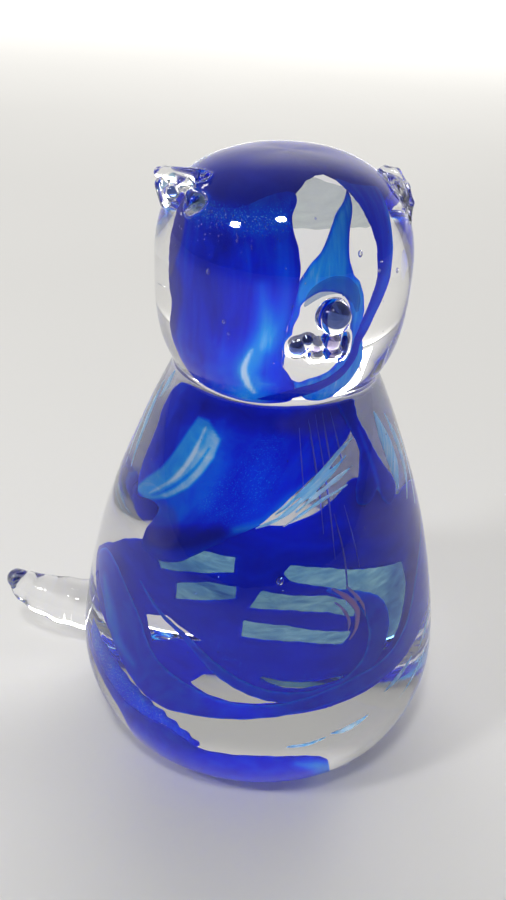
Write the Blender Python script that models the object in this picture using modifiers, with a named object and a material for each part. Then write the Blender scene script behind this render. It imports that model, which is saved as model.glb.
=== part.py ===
"""Crystal glass cat figurine, hot worked from clear and cobalt glass.

The cat sits on a flat ground base and faces -Y, with its ears along X. The
origin is the middle of the base. The body and the head are two gathers joined
at the neck. Each is a clear core, cobalt veils laid on it, and a thick clear
casing over both. Ears, nose, muzzle and tail are bits of clear glass applied
from outside.
"""

import math

import bmesh
import bpy
from mathutils import Vector

MM = 0.001
MERGE = 1e-6

# Driving dimensions, in millimetres.
HEIGHT = 110.6
BASE_RADIUS = 27.5
BASE_ROUNDING = 4.0
BELLY_RADIUS = 35.0
BELLY_HEIGHT = 16.0
BELLY_DROP = 29.0
NECK_RADIUS = 17.2
NECK_HEIGHT = 75.2
SHOULDER_POWER = 1.65
HEAD_RADIUS = 21.2
HEAD_CENTRE = 91.0
HEAD_LOWER_HALF = 21.8
HEAD_SQUARENESS = 2.7

# The layer between core and casing, where the cobalt lies.
BODY_LAYER_SHARE = 0.68
BODY_LAYER_FLOOR = 9.5
BODY_LAYER_ROUNDING = 14.5
BODY_LAYER_SQUARENESS = 3.0
HEAD_LAYER_RADIUS = 14.2
HEAD_LAYER_TOP = 15.5
HEAD_LAYER_LOWER_HALF = 26.0

# Touching pieces keep a fitting gap. Core and casing stay clear of the veils.
FIT_GAP = 0.3
VEIL_THICKNESS = 0.6
CORE_OFFSET = -0.8
CASING_OFFSET = 0.85
POLE_TRIM = 0.05

SEGMENTS = 36

# Applied bits.
EAR_SIZE = (8.5, 11.0, 16.0)
EAR_REACH = 17.4
EAR_FORWARD = -1.5
EAR_TILT = 34.0
EAR_PINCH = 0.6
EAR_HEIGHTS = {"ear_right": 103.8, "ear_left": 102.6}
NOSE_RADIUS = 2.8
NOSE_HEIGHT = 92.0
NOSE_PROUD = 0.9
MUZZLE_SIZE = (13.0, 7.0, 7.0)
MUZZLE_HEIGHT = 86.0
MUZZLE_SIDE = -0.4
MUZZLE_PINCH = 0.8
TAIL_RADIUS = 5.3

# Middle of the tail from root to tip: x, y, height, share of its radius.
TAIL_PATH = [
    (-25.5, 17.8, 9.4, 1.0),
    (-32.6, 21.5, 9.0, 1.0),
    (-38.1, 24.0, 10.0, 0.86),
    (-43.3, 25.9, 12.6, 0.62),
    (-45.8, 26.4, 14.8, 0.4),
    (-46.5, 26.5, 15.6, 0.15),
]

# Sheets of colour: height, edge towards the cat's right, edge towards its
# left. Angles are in degrees from the front, positive towards its left.
HEAD_PANEL = [
    (78.0, -72.0, -22.0),
    (81.0, -92.0, -26.0),
    (86.0, -97.0, -27.0),
    (92.0, -96.0, -25.0),
    (97.0, -97.0, -22.0),
    (101.5, -100.0, -22.0),
]
CROWN = [
    (103.0, -150.0, 2.0),
    (105.0, -160.0, 6.0),
    (106.0, -165.0, 6.0),
]
NAPE = [
    (80.0, 130.0, 200.0),
    (88.0, 115.0, 225.0),
    (98.0, 120.0, 215.0),
]
SHOULDER = [
    (47.0, -98.0, 2.0),
    (53.0, -103.0, 12.0),
    (62.0, -104.0, 24.0),
    (72.0, -96.0, 30.0),
]
BACK_SHEET = [
    (32.0, 112.0, 205.0),
    (44.0, 95.0, 228.0),
    (58.0, 90.0, 232.0),
    (68.0, 100.0, 222.0),
]

# Ribbons of colour: angle from the front, height, width.
HEAD_RIBBON = [
    (38.0, 103.8, 2.2),
    (56.0, 102.2, 3.6),
    (56.0, 97.5, 3.8),
    (48.0, 93.0, 3.0),
    (43.0, 88.0, 2.6),
    (42.0, 83.0, 2.4),
    (40.0, 79.0, 2.0),
]
FLANK_LOOP = [
    (40.0, 69.0, 2.0),
    (54.0, 63.0, 3.4),
    (60.0, 55.0, 4.0),
    (48.0, 49.0, 3.6),
    (34.0, 50.0, 2.4),
]
BELLY_BAND = [
    (-112.0, 36.0, 4.0),
    (-88.0, 36.0, 6.5),
    (-62.0, 30.0, 6.5),
    (-36.0, 22.5, 4.5),
    (0.0, 19.5, 4.0),
    (36.0, 21.5, 4.5),
    (64.0, 26.5, 6.0),
    (86.0, 33.0, 4.0),
]
BELLY_ARCH = [
    (-34.0, 31.0, 2.6),
    (-30.0, 39.5, 3.4),
    (-8.0, 43.5, 4.0),
    (18.0, 41.5, 4.0),
    (30.0, 34.0, 3.6),
    (22.0, 26.5, 2.8),
]
FOOT_RING = [
    (-125.0, 20.0, 2.2),
    (-80.0, 15.2, 2.6),
    (-40.0, 13.2, 2.4),
    (0.0, 12.6, 2.2),
    (40.0, 13.4, 2.4),
    (80.0, 16.8, 3.0),
    (120.0, 22.0, 2.2),
]

# The pale teardrop round the window on the face, as (degrees, millimetres).
TEARDROP_CENTRE = (4.0, 86.5)
TEARDROP_WINDOW = (17.0, 6.3)
TEARDROP_RIM = (28.5, 8.6)
TEARDROP_TIP = (30.0, 15.5)


# The figurine's surfaces.


def superellipse(share, power):
    """Radius share at a height share of a superellipse, both from 0 to 1."""
    return max(0.0, 1.0 - min(1.0, abs(share)) ** power) ** (1.0 / power)


def body_radius(z):
    """Outer radius of the pear-shaped body at height z."""
    if z < BELLY_HEIGHT:
        radius = BELLY_RADIUS * math.sqrt(1.0 - ((BELLY_HEIGHT - z) / BELLY_DROP) ** 2)
    else:
        share = min(1.0, (z - BELLY_HEIGHT) / (NECK_HEIGHT - BELLY_HEIGHT))
        radius = NECK_RADIUS + (BELLY_RADIUS - NECK_RADIUS) * (1.0 - share ** SHOULDER_POWER)
    if z >= BASE_ROUNDING:
        return radius
    edge = min(1.0, (BASE_ROUNDING - z) / BASE_ROUNDING)
    corner = BELLY_RADIUS * math.sqrt(1.0 - (BELLY_HEIGHT / BELLY_DROP) ** 2) - BASE_RADIUS
    return radius - corner * (1.0 - math.sqrt(1.0 - edge ** 2))


def head_radius(z):
    """Outer radius of the domed, slightly square head at height z."""
    half = HEIGHT - HEAD_CENTRE if z > HEAD_CENTRE else HEAD_LOWER_HALF
    return HEAD_RADIUS * superellipse((z - HEAD_CENTRE) / half, HEAD_SQUARENESS)


def body_layer_radius(z):
    """Radius of the colour layer inside the body."""
    drop = max(0.0, BODY_LAYER_FLOOR + BODY_LAYER_ROUNDING - z) / BODY_LAYER_ROUNDING
    return BODY_LAYER_SHARE * body_radius(z) * superellipse(drop, BODY_LAYER_SQUARENESS)


def head_layer_radius(z):
    """Radius of the colour layer inside the head."""
    half = HEAD_LAYER_TOP if z > HEAD_CENTRE else HEAD_LAYER_LOWER_HALF
    return HEAD_LAYER_RADIUS * superellipse((z - HEAD_CENTRE) / half, HEAD_SQUARENESS)


def layer_radius(z):
    return body_layer_radius(z) if z < NECK_HEIGHT else head_layer_radius(z)


def layer_point(angle, z):
    """Point on the colour layer at an angle in degrees from the cat's front."""
    turn = math.radians(angle)
    radius = layer_radius(z)
    return Vector((radius * math.sin(turn), -radius * math.cos(turn), z)) * MM


def shifted(radius_at, z, offset):
    """Point (radius, height) at a distance outside a turned surface."""
    step = 0.01
    slope = (radius_at(z + step) - radius_at(z - step)) / (2.0 * step)
    length = math.hypot(1.0, slope)
    return radius_at(z) + offset / length, z - offset * slope / length


def spaced(start, end, count, bunch_start=False, bunch_end=False):
    """Heights from start to end, closer together at a bunched end."""
    heights = []
    for index in range(count + 1):
        share = index / count
        if bunch_start:
            share = 1.0 - math.cos(0.5 * math.pi * share)
        elif bunch_end:
            share = math.sin(0.5 * math.pi * share)
        heights.append(start + (end - start) * share)
    return heights


def smooth_value(values, share):
    """Value at a share of the way along hand-set values, on a smooth curve."""
    last = len(values) - 1
    place = min(max(share, 0.0), 1.0) * last
    index = min(int(place), last - 1)
    t = place - index
    before = values[max(index - 1, 0)]
    first = values[index]
    second = values[index + 1]
    after = values[min(index + 2, last)]
    return 0.5 * (
        2.0 * first
        + (second - before) * t
        + (2.0 * before - 5.0 * first + 4.0 * second - after) * t ** 2
        + (3.0 * first - before - 3.0 * second + after) * t ** 3
    )


# Scene helpers.


def collection(name):
    found = bpy.data.collections.new(name)
    bpy.context.scene.collection.children.link(found)
    return found


def glass(name, colour):
    material = bpy.data.materials.new(name)
    material.use_nodes = True
    shader = material.node_tree.nodes["Principled BSDF"]
    shader.inputs["Base Color"].default_value = (*colour, 1.0)
    shader.inputs["Roughness"].default_value = 0.03
    shader.inputs["Metallic"].default_value = 0.0
    material.diffuse_color = (*colour, 1.0)
    return material


def mesh_from(bm, name):
    """Smooth-shaded mesh that keeps its hard edges."""
    mesh = bpy.data.meshes.new(name)
    bm.to_mesh(mesh)
    bm.free()
    mesh.shade_smooth()
    mesh.set_sharp_from_angle(angle=math.radians(40.0))
    return mesh


def add_object(name, mesh, material, target):
    thing = bpy.data.objects.new(name, mesh)
    if material:
        mesh.materials.append(material)
    target.objects.link(thing)
    return thing


def turned(name, profile, material, target):
    """Solid of revolution from a profile that runs down its outer side."""
    bm = bmesh.new()
    corners = [bm.verts.new((radius * MM, 0.0, z * MM)) for radius, z in profile]
    for first, second in zip(corners, corners[1:]):
        bm.edges.new((first, second))
    thing = add_object(name, mesh_from(bm, name), material, target)
    screw = thing.modifiers.new("Turn", "SCREW")
    screw.angle = 2.0 * math.pi
    screw.steps = SEGMENTS
    screw.render_steps = SEGMENTS
    screw.use_merge_vertices = True
    screw.merge_threshold = MERGE
    screw.use_smooth_shade = True
    return thing


def cutter_of(thing):
    thing.hide_render = True
    thing.display_type = "WIRE"
    return thing


def cut(thing, cutter):
    """Shape the back of an applied bit to the glass that it sits on."""
    trim = thing.modifiers.new("Fit", "BOOLEAN")
    trim.operation = "DIFFERENCE"
    trim.solver = "EXACT"
    trim.object = cutter


# Cores and casings.


def body_layer_profile(offset):
    """Profile of the body's colour layer, from its bottom pole up to the neck."""
    bend = BODY_LAYER_FLOOR + BODY_LAYER_ROUNDING
    top = NECK_HEIGHT - 0.5 * FIT_GAP
    heights = spaced(BODY_LAYER_FLOOR + POLE_TRIM, bend, 6, bunch_start=True)
    heights += spaced(bend, top, 7)[1:]
    points = [shifted(body_layer_radius, z, offset) for z in heights]
    points[-1] = (points[-1][0], top)
    return [(0.0, points[0][1])] + points


def head_layer_profile(offset):
    """Profile of the head's colour layer, from its top pole down to the neck."""
    bottom = NECK_HEIGHT + 0.5 * FIT_GAP
    heights = spaced(HEAD_CENTRE + HEAD_LAYER_TOP - POLE_TRIM, HEAD_CENTRE, 7, bunch_start=True)
    heights += spaced(HEAD_CENTRE, bottom, 4)[1:]
    points = [shifted(head_layer_radius, z, offset) for z in heights]
    points[-1] = (points[-1][0], bottom)
    return [(0.0, points[0][1])] + points


def head_outer_profile(offset=0.0):
    """Outer profile of the head, from the crown down to the neck."""
    heights = spaced(HEIGHT - POLE_TRIM, HEAD_CENTRE, 9, bunch_start=True)
    heights += spaced(HEAD_CENTRE, NECK_HEIGHT + 0.5 * FIT_GAP, 5)[1:]
    return [(0.0, HEIGHT + offset)] + [shifted(head_radius, z, offset) for z in heights]


def body_core(target, material):
    profile = list(reversed(body_layer_profile(CORE_OFFSET)))
    return turned("body_core", [(0.0, profile[0][1])] + profile, material, target)


def body_casing(target, material):
    """Thick clear casing with the flat ground base, open at the neck."""
    heights = spaced(NECK_HEIGHT - 0.5 * FIT_GAP, BELLY_HEIGHT, 8)
    heights += spaced(BELLY_HEIGHT, BASE_ROUNDING, 2)[1:]
    heights += spaced(BASE_ROUNDING, 0.0, 3, bunch_end=True)[1:]
    outer = [(body_radius(z), z) for z in heights]
    profile = body_layer_profile(CASING_OFFSET) + outer + [(0.0, 0.0)]
    return turned("body_casing", profile, material, target)


def head_core(target, material):
    profile = head_layer_profile(CORE_OFFSET)
    return turned("head_core", profile + [(0.0, profile[-1][1])], material, target)


def head_casing(target, material):
    """Thick clear casing of the head, a dome that is open at the neck."""
    profile = head_outer_profile() + list(reversed(head_layer_profile(CASING_OFFSET)))
    return turned("head_casing", profile, material, target)


# Veils: thin closed sheets of coloured glass on the colour layer.


def veil(name, bm, material, target):
    thing = add_object(name, mesh_from(bm, name), material, target)
    shell = thing.modifiers.new("Thickness", "SOLIDIFY")
    shell.thickness = VEIL_THICKNESS * MM
    shell.offset = 0.0
    shell.use_even_offset = True
    return thing


def unit_grid(across, along, place):
    """Open sheet: a unit grid whose corners are moved by place(u, v)."""
    bm = bmesh.new()
    bmesh.ops.create_grid(bm, x_segments=across, y_segments=along, size=0.5)
    for vert in bm.verts:
        vert.co = place(vert.co.x + 0.5, vert.co.y + 0.5)
    return bm


def sheet_veil(name, rows, material, target, across=10, along=10):
    def place(u, v):
        z, right, left = [smooth_value([row[axis] for row in rows], v) for axis in range(3)]
        return layer_point(right + (left - right) * u, z)

    return veil(name, unit_grid(across, along, place), material, target)


def ribbon_veil(name, path, material, target, along=16, across=2):
    def centre(share):
        return [smooth_value([point[axis] for point in path], share) for axis in range(3)]

    def place(u, v):
        angle, z, width = centre(v)
        before = centre(v - 0.01)
        after = centre(v + 0.01)
        per_degree = math.radians(1.0) * layer_radius(z)
        run = (after[0] - before[0]) * per_degree
        rise = after[1] - before[1]
        length = math.hypot(run, rise)
        offset = (u - 0.5) * width
        return layer_point(angle - offset * rise / length / per_degree, z + offset * run / length)

    return veil(name, unit_grid(across, along, place), material, target)


def teardrop_veil(material, target, around=28):
    """Teardrop that hangs from its tip and leaves a window open round the nose."""
    bm = bmesh.new()
    bmesh.ops.create_cone(bm, cap_ends=False, segments=around, radius1=1.0, radius2=1.0, depth=1.0)
    upright = [edge for edge in bm.edges if abs(edge.verts[0].co.z - edge.verts[1].co.z) > 0.5]
    bmesh.ops.subdivide_edges(bm, edges=upright, cuts=2)
    centre, window = TEARDROP_CENTRE, TEARDROP_WINDOW
    rim, tip = TEARDROP_RIM, TEARDROP_TIP
    for vert in bm.verts:
        outward = vert.co.z + 0.5
        turn = math.atan2(vert.co.x, vert.co.y)
        peak = max(0.0, math.cos(turn)) ** 6
        wide = window[0] + (rim[0] * (1.0 - 0.2 * peak) - window[0]) * outward
        tall = window[1] + (rim[1] + (tip[1] - rim[1]) * peak - window[1]) * outward
        lean = (tip[0] - centre[0]) * peak * outward
        angle = centre[0] + lean + wide * math.sin(turn)
        vert.co = layer_point(angle, centre[1] + tall * math.cos(turn))
    bmesh.ops.recalc_face_normals(bm, faces=bm.faces)
    return veil("veil_face_teardrop", bm, material, target)


def head_veils(cobalt, pale, target):
    sheet_veil("veil_head_panel", HEAD_PANEL, cobalt, target)
    sheet_veil("veil_crown", CROWN, cobalt, target, across=12, along=4)
    sheet_veil("veil_nape", NAPE, cobalt, target, across=8, along=6)
    ribbon_veil("veil_head_ribbon", HEAD_RIBBON, cobalt, target, along=22)
    teardrop_veil(pale, target)


def body_veils(cobalt, pale, target):
    sheet_veil("veil_shoulder", SHOULDER, cobalt, target, across=14, along=8)
    sheet_veil("veil_back", BACK_SHEET, cobalt, target, across=12, along=8)
    ribbon_veil("veil_flank_loop", FLANK_LOOP, cobalt, target, along=12)
    ribbon_veil("veil_belly_band", BELLY_BAND, cobalt, target, along=20, across=3)
    ribbon_veil("veil_belly_arch", BELLY_ARCH, pale, target, along=20)
    ribbon_veil("veil_foot_ring", FOOT_RING, cobalt, target, along=24)


# Applied bits, each shaped to the head or body a fitting gap away.


def head_space(target):
    profile = head_outer_profile(FIT_GAP)
    return cutter_of(turned("head_space", profile + [(0.0, profile[-1][1])], None, target))


def body_space(target):
    heights = spaced(NECK_HEIGHT, BELLY_HEIGHT, 8) + spaced(BELLY_HEIGHT, 0.0, 4)[1:]
    points = [shifted(body_radius, z, FIT_GAP) for z in heights]
    profile = [(0.0, points[0][1])] + points + [(0.0, points[-1][1])]
    return cutter_of(turned("body_space", profile, None, target))


def soft_lump(name, size, pinch, material, target):
    """Soft lump from a cube cage whose top is pinched to a share of its width."""
    bm = bmesh.new()
    bmesh.ops.create_cube(bm, size=1.0)
    for vert in bm.verts:
        narrow = pinch if vert.co.z > 0.0 else 1.0
        vert.co.x *= size[0] * narrow * MM
        vert.co.y *= size[1] * narrow * MM
        vert.co.z *= size[2] * MM
    thing = add_object(name, mesh_from(bm, name), material, target)
    soften = thing.modifiers.new("Soften", "SUBSURF")
    soften.levels = 2
    soften.render_levels = 2
    return thing


def ears(material, target, space):
    """Two pinched lugs on the upper corners of the head."""
    for name, height in EAR_HEIGHTS.items():
        side = -1.0 if name == "ear_right" else 1.0
        ear = soft_lump(name, EAR_SIZE, EAR_PINCH, material, target)
        ear.location = Vector((side * EAR_REACH, EAR_FORWARD, height)) * MM
        ear.rotation_euler = (0.0, math.radians(side * EAR_TILT), 0.0)
        cut(ear, space)


def face(material, target, space):
    """Nose bead, and the wide muzzle bit under it."""
    bm = bmesh.new()
    bmesh.ops.create_uvsphere(bm, u_segments=16, v_segments=10, radius=NOSE_RADIUS * MM)
    nose = add_object("nose", mesh_from(bm, "nose"), material, target)
    nose.location = Vector((0.0, -HEAD_RADIUS - NOSE_PROUD, NOSE_HEIGHT)) * MM
    cut(nose, space)
    muzzle = soft_lump("muzzle", MUZZLE_SIZE, MUZZLE_PINCH, material, target)
    muzzle.location = Vector((MUZZLE_SIDE, -HEAD_RADIUS, MUZZLE_HEIGHT)) * MM
    cut(muzzle, space)


def tail(material, target, space):
    """Stubby tail that hooks up at its tip: a bevelled curve made a mesh."""
    curve = bpy.data.curves.new("tail_curve", "CURVE")
    curve.dimensions = "3D"
    curve.resolution_u = 3
    curve.bevel_depth = TAIL_RADIUS * MM
    curve.bevel_resolution = 3
    curve.use_fill_caps = True
    spline = curve.splines.new("BEZIER")
    spline.bezier_points.add(len(TAIL_PATH) - 1)
    for point, (x, y, z, share) in zip(spline.bezier_points, TAIL_PATH):
        point.co = Vector((x, y, z)) * MM
        point.radius = share
        point.handle_left_type = "AUTO"
        point.handle_right_type = "AUTO"
    guide = bpy.data.objects.new("tail_guide", curve)
    target.objects.link(guide)
    evaluated = guide.evaluated_get(bpy.context.evaluated_depsgraph_get())
    bm = bmesh.new()
    bm.from_mesh(bpy.data.meshes.new_from_object(evaluated))
    bmesh.ops.remove_doubles(bm, verts=bm.verts, dist=MERGE)
    bmesh.ops.recalc_face_normals(bm, faces=bm.faces)
    bpy.data.objects.remove(guide)
    cut(add_object("tail", mesh_from(bm, "tail"), material, target), space)


def main():
    for thing in list(bpy.data.objects):
        bpy.data.objects.remove(thing)
    figurine = collection("glass_cat_figurine")
    cutters = collection("cutters")
    clear = glass("clear_glass", (0.90, 0.94, 0.97))
    cobalt = glass("cobalt_glass", (0.01, 0.03, 0.55))
    pale = glass("pale_cobalt_glass", (0.10, 0.38, 0.78))
    body_core(figurine, clear)
    body_casing(figurine, clear)
    body_veils(cobalt, pale, figurine)
    head_core(figurine, clear)
    head_casing(figurine, clear)
    head_veils(cobalt, pale, figurine)
    head_shape = head_space(cutters)
    ears(clear, figurine, head_shape)
    face(clear, figurine, head_shape)
    tail(clear, figurine, body_space(cutters))


main()
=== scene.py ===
import math

import bmesh
import bpy
import numpy as np
from mathutils import Matrix, Vector


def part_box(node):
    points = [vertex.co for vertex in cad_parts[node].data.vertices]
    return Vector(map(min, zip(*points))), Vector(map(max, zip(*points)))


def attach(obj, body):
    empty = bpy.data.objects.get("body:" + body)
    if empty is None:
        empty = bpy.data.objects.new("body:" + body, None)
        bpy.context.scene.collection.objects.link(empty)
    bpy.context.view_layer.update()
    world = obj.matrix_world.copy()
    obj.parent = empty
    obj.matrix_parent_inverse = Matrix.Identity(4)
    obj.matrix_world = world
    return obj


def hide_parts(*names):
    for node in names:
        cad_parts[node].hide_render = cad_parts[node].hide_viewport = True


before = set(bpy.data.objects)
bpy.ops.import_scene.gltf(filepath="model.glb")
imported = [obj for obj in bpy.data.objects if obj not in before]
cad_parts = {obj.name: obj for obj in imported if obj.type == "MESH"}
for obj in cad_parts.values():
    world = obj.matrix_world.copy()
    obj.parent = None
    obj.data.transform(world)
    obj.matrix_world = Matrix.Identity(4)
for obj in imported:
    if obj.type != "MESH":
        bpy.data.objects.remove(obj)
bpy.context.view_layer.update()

MM = 0.001


def node_box(node):
    """Lowest and highest corner of a CAD node, in millimetres."""
    low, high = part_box(node)
    return np.array(low) / MM, np.array(high) / MM


body_low, body_high = node_box("body_casing")
head_low, head_high = node_box("head_casing")

# Main sizes in millimetres, read off the CAD model.
HEIGHT = head_high[2]
NECK_HEIGHT = 0.5 * (body_high[2] + head_low[2])
BELLY_RADIUS = 0.5 * (body_high[0] - body_low[0])
HEAD_RADIUS = 0.5 * (head_high[0] - head_low[0])

# Profile of the glass, as in the CAD model.
BELLY_HEIGHT = 16.0
BELLY_DROP = 29.0
BASE_ROUNDING = 5.0
NECK_RADIUS = 17.2
NECK_FILLET = 1.3
SHOULDER_POWER = 1.65
HEAD_CENTRE = 91.0
HEAD_LOWER_HALF = 21.8
HEAD_SQUARENESS = 2.7
LAYER_SHARE = 0.68
LAYER_FLOOR = 9.5
LAYER_ROUNDING = 14.5
HEAD_LAYER_RADIUS = 14.2
HEAD_LAYER_TOP = 15.5
HEAD_LAYER_LOWER_HALF = 26.0

LOW_SHARE = 0.76
LOW_TOP = 18.0
LOW_ROUNDING = 16.0
FOOT_DEPTH = 6.0
NOSE_RADIUS = 2.65

VOXEL = 0.42
JOIN_FILLET = 0.9


# Shape of the glass: distances to the surface, in millimetres.


def superellipse(share, power):
    return np.clip(1.0 - np.clip(np.abs(share), 0.0, 1.0) ** power, 0.0, 1.0) ** (1.0 / power)


def body_radius(z):
    """Outer radius of the pear-shaped body, without the rounding at its base."""
    z = np.asarray(z, dtype=float)
    low = BELLY_RADIUS * np.sqrt(np.clip(1.0 - ((BELLY_HEIGHT - z) / BELLY_DROP) ** 2, 0.05, 1.0))
    share = np.maximum(0.0, z - BELLY_HEIGHT) / (NECK_HEIGHT - BELLY_HEIGHT)
    high = NECK_RADIUS + (BELLY_RADIUS - NECK_RADIUS) * (1.0 - share ** SHOULDER_POWER)
    return np.where(z < BELLY_HEIGHT, low, high)


def smooth_min(first, second, reach):
    overlap = np.maximum(reach - np.abs(first - second), 0.0) / reach
    return np.minimum(first, second) - overlap * overlap * reach * 0.25


def smooth_max(first, second, reach):
    return -smooth_min(-first, -second, reach)


def body_distance(p):
    z = p[:, 2]
    out = np.hypot(p[:, 0], p[:, 1])
    slope = (body_radius(z + 0.05) - body_radius(z - 0.05)) / 0.1
    side = (out - body_radius(z)) / np.sqrt(1.0 + slope * slope)
    side = np.maximum(side, z - NECK_HEIGHT - 8.0)
    return smooth_max(side, -z, BASE_ROUNDING)


def head_distance(p):
    z = p[:, 2] - HEAD_CENTRE
    out = np.hypot(p[:, 0], p[:, 1])
    half = np.where(z > 0.0, HEIGHT - HEAD_CENTRE, HEAD_LOWER_HALF)
    power = HEAD_SQUARENESS
    tall = np.abs(z) / half
    wide = out / HEAD_RADIUS
    level = np.maximum(tall ** power + wide ** power, 1e-9) ** (1.0 / power)
    rise = (tall / level) ** (power - 1.0) / half
    reach = (wide / level) ** (power - 1.0) / HEAD_RADIUS
    return (level - 1.0) / np.maximum(np.hypot(rise, reach), 1e-6)


def ball_distance(p, centre, size):
    """Distance to a ball, or to an ellipsoid if size has three numbers."""
    size = np.array(size, dtype=float) * np.ones(3)
    scaled = (p - np.array(centre)) / size
    length = np.maximum(np.linalg.norm(scaled, axis=1), 1e-9)
    steep = np.linalg.norm(scaled / size, axis=1) / length
    return (length - 1.0) / np.maximum(steep, 1e-9)


def limb_distance(p, start, end, start_radius, end_radius):
    """Distance to a rounded limb that tapers between two balls."""
    start = np.array(start, dtype=float)
    along = np.array(end, dtype=float) - start
    share = np.clip((p - start) @ along / (along @ along), 0.0, 1.0)
    middle = start + share[:, None] * along
    return np.linalg.norm(p - middle, axis=1) - (start_radius + (end_radius - start_radius) * share)


def ripple(p):
    """Slow unevenness of hand-shaped glass."""
    turn = np.arctan2(p[:, 1], p[:, 0])
    z = p[:, 2]
    wave = 0.10 * np.sin(2.0 * turn + 0.07 * z + 0.8)
    wave += 0.07 * np.sin(3.0 * turn - 0.11 * z + 2.1)
    wave += 0.05 * np.sin(5.0 * turn + 0.16 * z + 4.0)
    wave += 0.05 * np.sin(0.23 * z + 1.0)
    fade = np.clip(z / 6.0, 0.0, 1.0) * np.clip(np.hypot(p[:, 0], p[:, 1]) / 12.0, 0.0, 1.0)
    return wave * fade


# Applied bits, in millimetres from the middle of their CAD nodes.
# A ball is a place and a size; a limb is two places and two radii.
NEAR_EAR = [
    ("limb", (-1.5, 2.8, 1.6), (1.4, -2.0, 1.1), 0.95, 1.05),
    ("limb", (-1.6, 1.0, 0.3), (-1.6, -1.2, -1.8), 1.15, 0.85),
    ("ball", (2.0, -5.0, -0.7), 1.55),
    ("ball", (1.2, -4.6, -1.7), 1.0),
    ("limb", (0.7, -2.4, 0.9), (2.7, -5.6, -0.7), 0.8, 0.7),
    ("limb", (-0.7, 2.0, 1.9), (4.3, -1.3, 2.2), 0.9, 0.9),
    ("ball", (-0.7, -1.5, -0.1), 1.2),
]
FAR_EAR = [
    ("limb", (-3.5, 0.0, 2.5), (-1.9, -0.8, 2.1), 0.8, 0.85),
    ("limb", (-1.9, -0.8, 2.1), (-1.3, -3.3, 0.5), 0.85, 0.85),
    ("limb", (-1.3, -3.3, 0.5), (-1.4, -5.6, -1.3), 0.85, 0.8),
    ("limb", (-1.4, -5.6, -1.3), (-2.4, -7.7, -3.1), 0.8, 0.6),
    ("ball", (-3.6, -3.0, -0.8), (2.4, 4.0, 3.3)),
]
MUZZLE = [
    ("ball", (-4.2, 1.7, 1.0), (1.5, 1.3, 1.5)),
    ("ball", (-3.0, 1.4, 1.9), 1.15),
    ("ball", (-1.5, 1.0, 1.3), 0.95),
    ("ball", (-1.4, 1.1, -0.4), (1.3, 1.0, 1.0)),
    ("ball", (0.6, 0.6, 2.0), (1.5, 1.3, 1.6)),
    ("ball", (0.9, 0.7, 0.0), (1.6, 1.3, 1.3)),
    ("ball", (3.1, 1.4, 0.6), (0.9, 0.9, 2.2)),
]


def ear_lobes():
    """Both pinched ears, as limbs and balls from the middles of their CAD nodes."""
    ears = []
    for node, parts in (("ear_right", NEAR_EAR), ("ear_left", FAR_EAR)):
        low, high = node_box(node)
        middle = 0.5 * (low + high)
        ears.append([placed(lobe, middle) for lobe in parts])
    return ears


def face_lobes():
    low, high = node_box("nose")
    nose = 0.5 * (low + high)
    nose[1] = low[1] + 0.5 * (high[0] - low[0])
    low, high = node_box("muzzle")
    middle = 0.5 * (low + high)
    return [("ball", nose, NOSE_RADIUS)] + [placed(lobe, middle) for lobe in MUZZLE]


def placed(lobe, middle):
    """A lobe moved from its node's middle to its place on the figurine."""
    if lobe[0] == "ball":
        return ("ball", middle + np.array(lobe[1]), lobe[2])
    return ("limb", middle + np.array(lobe[1]), middle + np.array(lobe[2]), lobe[3], lobe[4])


# Middle line of the tail from root to tip, as in the CAD model: x, y, height, radius.
TAIL = [
    (-23.0, 16.4, 9.6, 5.6),
    (-31.0, 20.6, 9.0, 5.3),
    (-36.0, 23.0, 9.4, 4.9),
    (-40.3, 24.8, 10.6, 4.1),
    (-43.6, 25.9, 12.6, 3.1),
    (-45.6, 26.3, 14.9, 2.1),
]


def lobe_distance(p, lobe):
    if lobe[0] == "ball":
        return ball_distance(p, lobe[1], lobe[2])
    return limb_distance(p, *lobe[1:])


def tail_limbs():
    limbs = []
    for first, second in zip(TAIL, TAIL[1:]):
        limbs.append(("limb", first[:3], second[:3], first[3], second[3]))
    return limbs


EARS = ear_lobes()
FACE = face_lobes()
TAIL_LIMBS = tail_limbs()


def skin_distance(p):
    """Distance to the outside of the whole figurine, fused into one surface."""
    distance = smooth_min(body_distance(p), head_distance(p), NECK_FILLET)
    distance = distance + ripple(p)
    for ear in EARS:
        lump = lobe_distance(p, ear[0])
        for lobe in ear[1:]:
            lump = smooth_min(lump, lobe_distance(p, lobe), 0.5)
        distance = smooth_min(distance, lump, JOIN_FILLET)
    lump = lobe_distance(p, FACE[1])
    for lobe in FACE[2:]:
        lump = smooth_min(lump, lobe_distance(p, lobe), 0.5)
    distance = smooth_min(distance, lump, 0.7)
    distance = smooth_min(distance, lobe_distance(p, FACE[0]), 0.5)
    limb = lobe_distance(p, TAIL_LIMBS[0])
    for lobe in TAIL_LIMBS[1:]:
        limb = smooth_min(limb, lobe_distance(p, lobe), 1.2)
    return smooth_min(distance, limb, 2.2)


def gradient(p, step=0.03):
    grad = np.empty_like(p)
    for axis in range(3):
        shift = np.zeros(3)
        shift[axis] = step
        grad[:, axis] = (skin_distance(p + shift) - skin_distance(p - shift)) / (2.0 * step)
    return grad


def settle(p, rounds):
    """Moves points onto the surface and returns them with its normals."""
    for _ in range(rounds):
        grad = gradient(p)
        square = np.maximum((grad * grad).sum(axis=1), 0.05)
        move = skin_distance(p) / square
        p = p - np.clip(move, -0.6, 0.6)[:, None] * grad
    grad = gradient(p)
    return p, grad / np.linalg.norm(grad, axis=1)[:, None]


# Mesh helpers.


def new_object(name, mesh):
    thing = bpy.data.objects.new(name, mesh)
    bpy.context.scene.collection.objects.link(thing)
    return thing


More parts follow.
